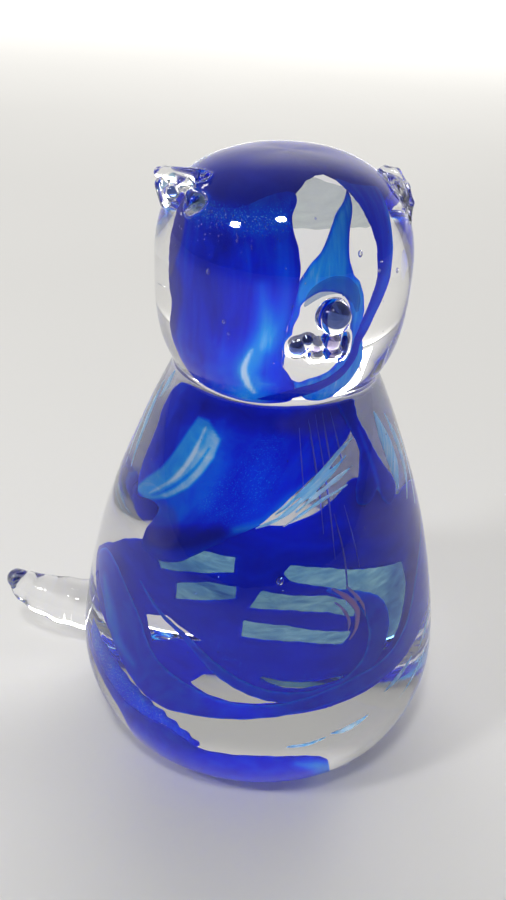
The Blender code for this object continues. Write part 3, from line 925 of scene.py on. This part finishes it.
SLATS = [
    ("patch", [(-71, 41.3), (-67, 43.8), (-49, 46.2), (-33, 46.6), (-33, 44), (-50, 42.1), (-68, 39.7)]),
    ("patch", [(-58, 38.8), (-45, 41.1), (-31, 41.6), (-31, 39.5), (-44, 37.8), (-57, 36.1)]),
    ("patch", [
        (-11, 44.6), (-8, 46), (10, 44.5), (34, 41), (54, 37.8), (56, 33), (52, 29), (46, 25.6), (38, 23.8),
        (33, 24.2), (37, 27.5), (38.5, 31.5), (34, 34.6), (27, 37.6), (10, 40.9), (-8, 43.2),
    ]),
    ("patch", [(-25, 38.2), (-20, 41.4), (9, 39.5), (23, 36.5), (21, 34), (9, 36.4), (-8, 38)]),
    ("patch", [(-27, 32.8), (-27, 35.8), (-8, 35), (19, 31.5), (18, 30.6), (15, 29.6), (-3, 31.9)]),
]
CLEAR_GAPS = [
    ("patch", [(-70, 29.9), (-60, 32.2), (-53, 31.4), (-43, 30.2), (-54, 28.7), (-65, 25.8)]),
    ("patch", [
        (-46, 21.1), (-40, 23.9), (-33, 24.9), (-26, 22.8), (-16, 21.1), (-6, 19.9), (-17, 19.2),
        (-29, 19.1), (-39, 19.7),
    ]),
    ("path", [(-18, 25, 0.5), (-11, 23.8, 1.1), (-3, 23.1, 1.3), (6, 22.8, 1.1), (15, 22.7, 0.5)]),
]
WEB_HAZE = ("outline", [(30, 56), (48, 52), (70, 47), (88, 40), (84, 34), (62, 40), (38, 46), (26, 50)])
COLLAR_HAZE = ("path", [(-12, 69.6, 2), (6, 69.6, 4.5), (24, 69.4, 4.5), (34, 69, 2)])
SLAT_SHADE = ("path", [(-74, 41, 5), (-50, 40, 4), (-28, 38, 3)])
GAP_SHADE = ("path", [(62, 37, 6), (54, 31, 7), (44, 26, 6)])
SMOKY_WINDOW = ("outline", [
    (-24, 101.9), (-8, 101.5), (10, 101.2), (30, 100.6), (50, 99.6), (64, 99.4), (62, 103), (40, 105),
    (20, 106), (-4, 106), (-24, 104.6),
])
WEB_SPECK = ("path", [(-70, 32, 4), (-40, 30, 5), (-10, 24, 5), (20, 24, 3)])
# Painted highlight: thin rosy wisps that paint a pinkish-white highlight in the belly.
PINK_HIGHLIGHT_WISPS = [
    ("path", [(9, 41.4, 0.2), (15, 39.2, 0.9), (20, 36, 1), (19, 32.8, 0.7), (16, 31, 0.2)]),
    ("path", [(14, 41.8, 0.1), (19, 39.2, 0.5), (23, 36.4, 0.5), (24, 34, 0.1)]),
    ("path", [(8, 39.6, 0.1), (13, 37.4, 0.5), (16, 34.6, 0.5), (15, 31.8, 0.1)]),
]
OVAL = ("path", [
    (-75, 35.6, 0.3), (-62, 32.6, 0.7), (-50, 30.6, 1.1), (-42, 28.2, 1.5), (-34, 25.7, 2),
    (-24, 23.3, 2.1), (-12, 21.5, 2.2), (2, 21, 2.3), (15, 21.8, 2.6), (24, 23.7, 3.2), (30, 26.8, 4.2),
    (32, 30.8, 4.6), (29, 34.8, 3.8), (20, 38.4, 2), (8, 41, 0.6),
])
TEAL_BACKING = ("outline", [
    (-80, 45), (-50, 50), (-20, 50), (10, 49), (40, 46), (66, 42), (72, 34), (66, 23), (44, 17.5), (20, 19),
    (-10, 21.5), (-34, 24.5), (-46, 30), (-66, 33),
])
BELLY_BAND = ("outline", [
    (-90, 35.6), (-78, 33.6), (-68, 30.4), (-63, 27.4), (-57, 24.8), (-51, 23.6), (-44, 22.6), (-36, 21.6),
    (-28, 21.1), (-17, 21.1), (-6, 21.8), (6, 23), (20, 24), (29, 24.3), (37, 25.5), (44, 27.6), (50, 30.9),
    (56, 34), (64, 37), (80, 40), (98, 37), (88, 29), (73, 24.2), (58, 23), (47, 21.8), (36, 20.9),
    (24, 20.2), (11, 19.8), (-4, 19.2), (-18, 18.3), (-28, 17.6), (-42, 16.5), (-52, 15.6), (-61, 16),
    (-69, 17.8), (-77, 20.2), (-85, 23), (-92, 26.2), (-101, 28.6), (-107, 31), (-101, 34.6),
])
BAND_LIGHT = ("path", [(-94, 30, 2), (-86, 26.5, 4), (-78, 23, 3), (-68, 21, 1)])
FOOT_VEIL = ("outline", [
    (-104, 16.8), (-95, 16.6), (-87, 15.6), (-77, 14.2), (-68, 13), (-58, 12.9), (-50, 13.2), (-44, 12.4),
    (-37, 11.1), (-27, 11.2), (-17, 11.4), (-4, 10.8), (5, 9.2), (9, 6), (10, 1.6), (-20, 1.3), (-50, 1.3),
    (-66, 1.6), (-68, 5), (-70, 9), (-76, 11.2), (-89, 13.4), (-100, 15),
])
FOOT_LIGHT = ("path", [(-4, 9, 1), (6, 6.5, 3), (9, 3, 3)])
FOOT_HAZE = ("outline", [
    (-94, 20.4), (-80, 19.8), (-68, 18.2), (-56, 16.6), (-46, 14.4), (-38, 11.6), (-46, 10.2), (-58, 10.6),
    (-70, 11.8), (-84, 13.6), (-94, 16.5),
])
BACK = ("outline", [
    (-150, 40), (-134, 44), (-127, 54), (-136, 63), (-152, 66), (-166, 61), (-172, 51), (-164, 43),
])


def crown_cap():
    """Cap of colour under the top of the head, with its lower edge scalloped over the windows."""
    columns, lines = 200, 26
    turn = np.linspace(-180.0, 180.0, columns, endpoint=False)
    edge_highlight = np.array(CROWN_RIM + [(180.0, CROWN_RIM[0][1])])
    edge = np.interp(turn, edge_highlight[:, 0], edge_highlight[:, 1])
    share = np.linspace(0.0, 1.0, lines)[:, None]
    top = HEAD_CENTRE + HEAD_LAYER_TOP - 0.0001
    z = top + (edge[None, :] - top) * share ** 2
    angle = turn[None, :] * np.ones_like(z)
    near_rim = np.clip((1.0 - share) / 0.1, 0.0, 1.0)
    half = 0.25 * np.sqrt(near_rim * (2.0 - near_rim)) + 0.01
    middle = waver(angle, z, 0.1, 2.0) * share + 1.2 * (1.0 - share)
    outer = shell_points(layer_radius, angle, z, middle + half).reshape(-1, 3)
    inner = shell_points(layer_radius, angle, z, middle - half).reshape(-1, 3)
    size = lines * columns
    faces = []
    for line in range(lines - 1):
        for column in range(columns):
            after = (column + 1) % columns
            a, b = line * columns + column, line * columns + after
            c, d = b + columns, a + columns
            faces.append((d, c, b, a))
            faces.append((size + a, size + b, size + c, size + d))
    last = size - columns
    for column in range(columns):
        after = (column + 1) % columns
        faces.append((column, after, size + after, size + column))
        faces.append((last + after, last + column, size + last + column, size + last + after))
    mesh = bpy.data.meshes.new("crown_veil")
    mesh.from_pydata((np.concatenate([outer, inner]) * MM).tolist(), [], faces)
    mesh.shade_smooth()
    scale = np.radians(1.0) * layer_radius(z).reshape(-1)
    flat_angle, flat_z = angle.ravel(), z.ravel()
    run = 0.5 * (outer + inner)
    tone = painted(flat_angle, flat_z, np.maximum(scale, 0.05), [(0.25, 1.6, CROWN_MIST)])
    dots = painted(flat_angle, flat_z, np.maximum(scale, 0.05), [(0.5, 1.2, CROWN_MIST)])
    for key, values in (("flow", run), ("light", tone), ("haze", 0.0 * tone), ("speck", dots)):
        write_attribute(mesh, key, np.concatenate([values, values]))
    return new_object("crown_veil", mesh)


BUBBLES = [
    (-13.0, 43.8, 0.62),
    (-61.0, 94.6, 0.30),
    (-50.0, 87.9, 0.26),
    (-47.0, 86.2, 0.22),
    (-47.0, 99.2, 0.16),
    (22.0, 97.9, 0.34),
    (37.0, 96.2, 0.2),
    (35.0, 95.2, 0.2),
    (52.0, 94.1, 0.26),
    (-3.0, 102.1, 0.14),
]


def bubbles():
    """Seed bubbles trapped over the colour: placed larger ones, and scattered fine ones."""
    random = np.random.default_rng(7)
    bm = bmesh.new()

    def add(angle, z, lift, radius, fine):
        centre = shell_points(layer_radius, np.array(angle), np.array(z), np.array(lift))
        tall = 1.0 + 0.5 * random.random()
        matrix = Matrix.Translation(Vector(centre * MM)) @ Matrix.Diagonal((1.0, 1.0, tall, 1.0))
        bmesh.ops.create_icosphere(bm, subdivisions=fine, radius=radius * MM, matrix=matrix)

    for angle, z, radius in BUBBLES:
        add(angle, z, 1.2, radius, 3)
    for _ in range(140):
        z = random.uniform(18.0, 66.0)
        add(random.uniform(-180.0, 180.0), z, random.uniform(0.6, 3.0), random.uniform(0.06, 0.15), 1)
    for _ in range(40):
        z = random.uniform(80.0, 101.0)
        add(random.uniform(-180.0, 180.0), z, random.uniform(0.6, 3.0), random.uniform(0.05, 0.11), 1)
    for _ in range(130):
        z = 101.8 - abs(random.normal(0.0, 1.8))
        add(random.uniform(-95.0, -16.0), z, random.uniform(0.5, 1.2), random.uniform(0.04, 0.1), 1)
    mesh = bpy.data.meshes.new("seed_bubbles")
    bm.to_mesh(mesh)
    bm.free()
    mesh.shade_smooth()
    return new_object("seed_bubbles", mesh)


def head_veils():
    dense = cobalt("cobalt_head", base=0.38, contrast=0.42, stretch=(0.42, 0.07, 0.3))
    deep = cobalt("cobalt_crown", base=0.22, contrast=0.2, stretch=(0.2, 0.2, 0.2))
    pale = cobalt("cobalt_teardrop", base=0.76, contrast=0.5, stretch=(1.1, 0.1, 0.3))
    # Material of the painted brow shade.
    brow_shade_material = tinted_film("painted_brow_shade", BROW_SHADE_STOPS)
    panel = veil(
        "head_panel_veil", layer_radius, [HEAD_PANEL], seed=0.4,
        light=[
            (0.26, 2.6, PANEL_STREAK), (0.3, 0.7, PANEL_GLINT), (0.16, 2.5, PANEL_EDGE_STREAK),
            (0.14, 6.0, PANEL_LOW_LIGHT), (0.12, 0.5, PANEL_THREAD),
            (-0.10, 5.0, PANEL_DARK), (0.12, 2.0, CROWN_MIST), (-0.16, 1.2, PANEL_SHADOW),
        ],
        haze=[(0.8, 0.8, PANEL_SELVAGE), (0.25, 1.6, PANEL_SHADOW)],
        speck=[(0.55, 3.0, CROWN_MIST)],
    )
    finish_piece(panel, dense, "cobalt", "veil_head_panel")
    finish_piece(crown_cap(), deep, "cobalt", "veil_crown")
    nape = veil("nape_veil", layer_radius, [NAPE], seed=3.0)
    finish_piece(nape, dense, "cobalt", "veil_nape")
    ribbon = veil(
        "head_ribbon_veil", layer_radius, [HEAD_RIBBON], lift=0.2, drift=0.1, thick=0.6, step=0.3,
        flow=HEAD_RIBBON, light=[(0.2, 2.5, RIBBON_LIGHT)],
    )
    finish_piece(ribbon, dense, "cobalt", "veil_head_ribbon")
    teardrop = veil(
        "face_teardrop_veil", layer_radius, [TEARDROP], cuts=[WINDOW], lift=-0.6, drift=0.1, step=0.25,
        edge_highlight=-0.25, light=[(-0.16, 2.0, TEARDROP_SHADE)],
    )
    finish_piece(teardrop, pale, "pale_cobalt", "veil_face_teardrop")
    # The brow film paints the dark arc over the face window as shade.
    brow_shade_piece = veil("brow_shade_film", layer_radius, [BROW_SHADE], lift=0.4, step=0.25, flow=BROW_SHADE)
    finish_piece(brow_shade_piece, brow_shade_material, "pale_cobalt")
    window = veil("window_film", layer_radius, [SMOKY_WINDOW], lift=-2.0, drift=0.1, step=0.3)
    finish_piece(window, tinted_film("grey_film", GREY_STOPS, stretch=(0.15, 1.6, 0.3)), "pale_cobalt")


def body_veils():
    dense = cobalt("cobalt_body", base=0.37, contrast=0.36, stretch=(0.3, 0.12, 0.3))
    web = cobalt("cobalt_belly", base=0.29, contrast=0.28, stretch=(0.12, 0.4, 0.3))
    # The icy look serves the pale wisps and the painted highlights on the rim and foot.
    icy = cobalt("icy_wisp_and_highlight", base=0.94, contrast=0.35, stretch=(1.6, 0.12, 0.3))
    teal = tinted_film("teal_film", TEAL_STOPS, contrast=1.1, stretch=(0.25, 1.3, 0.3))
    shoulder = veil(
        "shoulder_veil", layer_radius, [SHOULDER], seed=1.3, flow=STREAK_GLOW,
        light=[
            (0.42, 0.7, STREAK), (0.18, 3.5, STREAK_GLOW), (0.22, 0.6, STREAK_LINES[0]),
            (-0.25, 0.5, STREAK_LINES[1]), (-0.08, 3.0, SHOULDER_DARK), (-0.12, 2.0, SHOULDER_COLLAR),
            (0.06, 5.0, SHOULDER_MID), (0.3, 1.5, HEM_STREAK), (-0.16, 2.0, HEM_DARK),
        ],
        haze=[(0.35, 1.5, SHOULDER_SMOKE), (0.4, 3.0, COLLAR_HAZE)],
        speck=[(0.25, 3.0, SHOULDER_MID)],
    )
    finish_piece(shoulder, dense, "cobalt", "veil_shoulder")
    loop = veil(
        "flank_loop_veil", layer_radius, [FLANK_LOOP], lift=0.7, drift=0.15, thick=0.8, step=0.3,
        light=[(0.18, 0.8, LOOP_SEAM)], edge_highlight=0.18,
    )
    finish_piece(loop, web, "cobalt", "veil_flank_loop")
    arch = veil(
        "belly_arch_veil", layer_radius, [BELLY_WEB], cuts=SLATS + CLEAR_GAPS, lift=-0.5, seed=2.2, drift=0.2,
        haze=[(0.5, 6.0, WEB_HAZE)], speck=[(0.3, 4.0, WEB_SPECK)], edge_highlight=0.1,
    )
    finish_piece(arch, web, "cobalt", "veil_belly_arch")
    oval = veil("belly_oval_veil", layer_radius, [OVAL], lift=0.7, drift=0.1, thick=0.8, step=0.3, flow=OVAL,
                edge_highlight=0.22, light=[(0.12, 2.0, OVAL)])
    finish_piece(oval, web, "cobalt")
    band = veil(
        "belly_band_veil", low_radius, [BELLY_BAND], drift=0.15, thick=0.7, flow=OVAL,
        light=[(0.22, 2.5, BAND_LIGHT), (0.1, 3.0, BELLY_BAND)], edge_highlight=0.25,
    )
    finish_piece(band, web, "cobalt", "veil_belly_band")
    foot = veil("foot_ring_veil", foot_radius, [FOOT_VEIL], drift=0.1, light=[(0.35, 2.5, FOOT_LIGHT)])
    finish_piece(foot, dense, "cobalt", "veil_foot_ring")
    back = veil("back_veil", layer_radius, [BACK], seed=4.0)
    finish_piece(back, dense, "cobalt", "veil_back")
    # This veil holds pale wisps of colour and the painted highlights along the left rim.
    wisps_and_highlights = veil(
        "wisp_and_highlight_veil", layer_radius, WISPS + RIM_STREAKS + LEFT_RIM_HIGHLIGHTS, lift=0.5, thick=0.3, step=0.25,
        flow=WISPS[1],
    )
    finish_piece(wisps_and_highlights, icy, "pale_cobalt")
    backing = veil(
        "slat_film", layer_radius, [TEAL_BACKING], lift=-3.0, thick=0.4,
        light=[(-0.3, 4.0, SLAT_SHADE), (-0.3, 5.0, GAP_SHADE)],
    )
    finish_piece(backing, teal, "pale_cobalt")
    # The rosy look paints a pinkish-white highlight along the pink wisps.
    rosy = cobalt(
        "rosy_highlight_wisp", base=0.6, contrast=0.7, stretch=(1.5, 0.2, 0.3), haze_colour=(0.80, 0.42, 0.62),
    )
    pink = veil(
        "pink_highlight_wisp_veil", layer_radius, PINK_HIGHLIGHT_WISPS, lift=1.5, thick=0.25, step=0.2, flow=PINK_HIGHLIGHT_WISPS[0],
        haze=[(0.75, 0.6, line) for line in PINK_HIGHLIGHT_WISPS],
    )
    finish_piece(pink, rosy, "pale_cobalt")
    lilac = cobalt("lilac_thread", base=0.5, contrast=0.5, haze_colour=(0.42, 0.34, 0.75))
    threads = veil(
        "thread_veil", layer_radius, THREADS, lift=0.6, drift=0.05, thick=0.15, step=0.12, ragged=0.02,
        haze=[(0.7, 0.6, thread) for thread in THREADS],
    )
    finish_piece(threads, lilac, "pale_cobalt")
    haze = veil(
        "foot_haze_veil", low_radius, [FOOT_HAZE], lift=1.5, thick=0.4, ragged=0.4,
        light=[(0.1, 3.0, FOOT_HAZE)], speck=[(0.55, 3.0, FOOT_HAZE)],
    )
    finish_piece(haze, dense, "cobalt")
    glints = veil("foot_glint_veil", low_radius, FOOT_GLINTS, lift=1.0, thick=0.25, step=0.25)
    finish_piece(glints, icy, "pale_cobalt")


def refraction_shade_core(name, node, lumps, stops):
    """Lumps of dark colour inside a clear bit, placed from the middle of its CAD box. They are painted shade
    and painted refraction: the real bit is clear glass that looks dark from what it refracts.
    """
    low, high = node_box(node)
    middle = 0.5 * (low + high)
    bm = bmesh.new()
    for place, size in lumps:
        matrix = Matrix.Translation(Vector((middle + np.array(place)) * MM)) @ Matrix.Diagonal((*size, 1.0))
        bmesh.ops.create_icosphere(bm, subdivisions=4, radius=MM, matrix=matrix)
    for vert in bm.verts:
        bump = math.sin(2300.0 * vert.co.x + 1.0) + math.sin(1900.0 * vert.co.z - 1700.0 * vert.co.y)
        vert.co += vert.normal * 0.05 * MM * bump
    mesh = bpy.data.meshes.new(name)
    bm.to_mesh(mesh)
    bm.free()
    mesh.shade_smooth()
    points = np.array([vert.co for vert in mesh.vertices]) / MM
    write_attribute(mesh, "flow", points)
    core = new_object(name, mesh)
    finish_piece(core, tinted_film(name, stops, contrast=1.0, stretch=(0.7, 0.7, 0.7)), "pale_cobalt")


# Painted shade and painted refraction: navy, purple and steel lumps inside the clear nose, muzzle and near
# ear stand in for the dark image the clear glass refracts.
NOSE_SHADE_LUMPS = [((0.0, 0.25, 0.35), (1.85, 1.7, 1.5))]
MUZZLE_NAVY_SHADE = [
    ((-4.2, 1.7, 0.9), (1.0, 0.8, 1.0)),
    ((-3.0, 1.4, 2.0), (0.6, 0.6, 0.55)),
    ((3.1, 1.45, 0.6), (0.5, 0.5, 1.5)),
]
MUZZLE_PURPLE_SHADE = [
    ((-1.4, 1.1, 0.4), (0.6, 0.55, 0.7)),
    ((0.7, 0.8, 1.7), (0.7, 0.65, 0.8)),
    ((0.95, 0.8, 0.0), (0.8, 0.6, 0.65)),
]
EAR_BLUE_SHADE = [((-0.7, -1.5, -0.1), (0.6, 0.6, 0.6))]
EAR_STEEL_SHADE = [
    ((2.0, -5.0, -0.7), (1.05, 1.05, 1.05)),
    ((-1.6, 0.8, 0.1), (0.7, 0.7, 0.7)),
    ((-0.05, 0.4, 1.35), (0.55, 0.6, 0.5)),
]


# Puts the painted refraction lumps into the nose, muzzle and near ear.
def refraction_shade_cores():
    refraction_shade_core("nose_refraction_shade", "nose", NOSE_SHADE_LUMPS, NAVY_STOPS)
    refraction_shade_core("muzzle_navy_refraction_shade", "muzzle", MUZZLE_NAVY_SHADE, NAVY_STOPS)
    refraction_shade_core("muzzle_purple_refraction_shade", "muzzle", MUZZLE_PURPLE_SHADE, PURPLE_STOPS)
    refraction_shade_core("ear_blue_refraction_shade", "ear_right", EAR_BLUE_SHADE, NAVY_STOPS)
    refraction_shade_core("ear_steel_refraction_shade", "ear_right", EAR_STEEL_SHADE, STEEL_STOPS)


def build_pieces():
    finish_piece(
        make_skin(), clear_glass(), "clear",
        "body_core", "body_casing", "head_core", "head_casing",
        "ear_right", "ear_left", "nose", "muzzle", "tail",
    )
    head_veils()
    body_veils()
    refraction_shade_cores()
    finish_piece(bubbles(), bubble_air(), "clear")


# Floor, light and camera.

CAMERA_AZIMUTH = -20.0
CAMERA_PITCH = 31.0
CAMERA_ROLL = 3.5
CAMERA_DISTANCE = 175.0
CAMERA_AIM = (-3.0, 0.0, 56.0)
CAMERA_LENS = 38.0
CAMERA_NEAR = 0.005
CAMERA_FAR = 20.0

FLOOR_RADIUS = 4.0
FLOOR_DROP = 0.00005

# Distances and sizes of the lights in metres, power in watts.
LIGHT_AIM = (0.0, 0.0, 0.06)
WALL_WAY = (0.0, 0.985, -0.17)
THROUGH_WAY = (0.0, 1.0, 0.2)
THROUGH_DISTANCE = 2.2
THROUGH_SIZE = (3.2, 0.8)
THROUGH_POWER = 115.0
THROUGH_COLOUR = (1.0, 0.985, 0.95)
LAMPS = {"left_lamp": (-0.728, -0.123, 0.674), "right_lamp": (-0.239, -0.38, 0.894)}
LAMP_DISTANCE = 0.6
LAMP_SIZE = 0.085
LAMP_POWER = 0.9
BOUNCES = 32
GLOSSY_BOUNCES = 12

WORLD_STOPS = [
    (0.0, (0.14, 0.14, 0.145)),
    (0.45, (0.24, 0.24, 0.245)),
    (0.80, (0.42, 0.415, 0.40)),
    (0.92, (0.95, 0.93, 0.90)),
    (1.0, (1.05, 1.03, 0.99)),
]


def make_floor():
    mesh = bpy.data.meshes.new("floor")
    bm = bmesh.new()
    bmesh.ops.create_circle(bm, cap_ends=True, segments=96, radius=FLOOR_RADIUS)
    bm.to_mesh(mesh)
    bm.free()
    floor = new_object("floor", mesh)
    floor.location.z = -FLOOR_DROP
    floor.data.materials.append(pale_floor())


def turned_to_view(x, y, z):
    """From the camera's own right, away and up to the world's X, Y and Z."""
    turn = math.radians(-CAMERA_AZIMUTH)
    return Vector((x * math.cos(turn) + y * math.sin(turn), -x * math.sin(turn) + y * math.cos(turn), z))


def make_camera():
    pitch = math.radians(CAMERA_PITCH)
    roll = math.radians(CAMERA_ROLL)
    ahead = Vector((0.0, math.cos(pitch), -math.sin(pitch)))
    level = Vector((1.0, 0.0, 0.0))
    upright = Vector((0.0, math.sin(pitch), math.cos(pitch)))
    right = level * math.cos(roll) + upright * math.sin(roll)
    up = upright * math.cos(roll) - level * math.sin(roll)
    place = Vector(CAMERA_AIM) - ahead * CAMERA_DISTANCE
    axes = [turned_to_view(*axis) for axis in (right, up, -ahead)]
    matrix = Matrix.Identity(4)
    for column, axis in enumerate(axes):
        for line in range(3):
            matrix[line][column] = axis[line]
    matrix.translation = turned_to_view(*place) * MM
    data = bpy.data.cameras.new("camera")
    data.lens = CAMERA_LENS
    data.clip_start = CAMERA_NEAR
    data.clip_end = CAMERA_FAR
    camera = new_object("camera", data)
    camera.matrix_world = matrix
    bpy.context.scene.camera = camera


def lamp(name, direction, distance, size, power, colour=(1.0, 1.0, 1.0)):
    data = bpy.data.lights.new(name, "AREA")
    data.shape = "DISK"
    data.size = size
    data.energy = power
    data.color = colour
    thing = new_object(name, data)
    direction = Vector(direction).normalized()
    thing.location = Vector(LIGHT_AIM) + direction * distance
    thing.rotation_mode = "QUATERNION"
    thing.rotation_quaternion = direction.to_track_quat("Z", "Y")
    return thing


def make_light():
    """Bright studio wall behind the figurine, dim room in front, and two small ceiling lamps.

    The panel only shines through the glass. The wall's brightness is what the glass mirrors.
    """
    world = bpy.data.worlds.new("studio")
    bpy.context.scene.world = world
    world.use_nodes = True
    nodes = world.node_tree.nodes
    links = world.node_tree.links
    where = nodes.new("ShaderNodeTexCoord")
    facing = nodes.new("ShaderNodeVectorMath")
    facing.operation = "DOT_PRODUCT"
    facing.inputs[1].default_value = 0.5 * turned_to_view(*WALL_WAY)
    links.new(where.outputs["Generated"], facing.inputs[0])
    half = nodes.new("ShaderNodeMath")
    half.operation = "ADD"
    half.inputs[1].default_value = 0.5
    links.new(facing.outputs["Value"], half.inputs[0])
    tone = ramp(nodes, links, half.outputs[0], WORLD_STOPS)
    links.new(tone.outputs["Color"], nodes["Background"].inputs["Color"])
    way = turned_to_view(*THROUGH_WAY)
    glow = lamp("through_panel", way, THROUGH_DISTANCE, THROUGH_SIZE[0], THROUGH_POWER, THROUGH_COLOUR)
    glow.data.shape = "RECTANGLE"
    glow.data.size_y = THROUGH_SIZE[1]
    glow.visible_glossy = False
    for name, direction in LAMPS.items():
        lamp(name, direction, LAMP_DISTANCE, LAMP_SIZE, LAMP_POWER)


def main():
    build_pieces()
    make_floor()
    make_camera()
    make_light()
    scene = bpy.context.scene
    scene.view_settings.view_transform = "Standard"
    scene.cycles.max_bounces = BOUNCES
    scene.cycles.transmission_bounces = BOUNCES
    scene.cycles.transparent_max_bounces = BOUNCES
    scene.cycles.glossy_bounces = GLOSSY_BOUNCES


main()
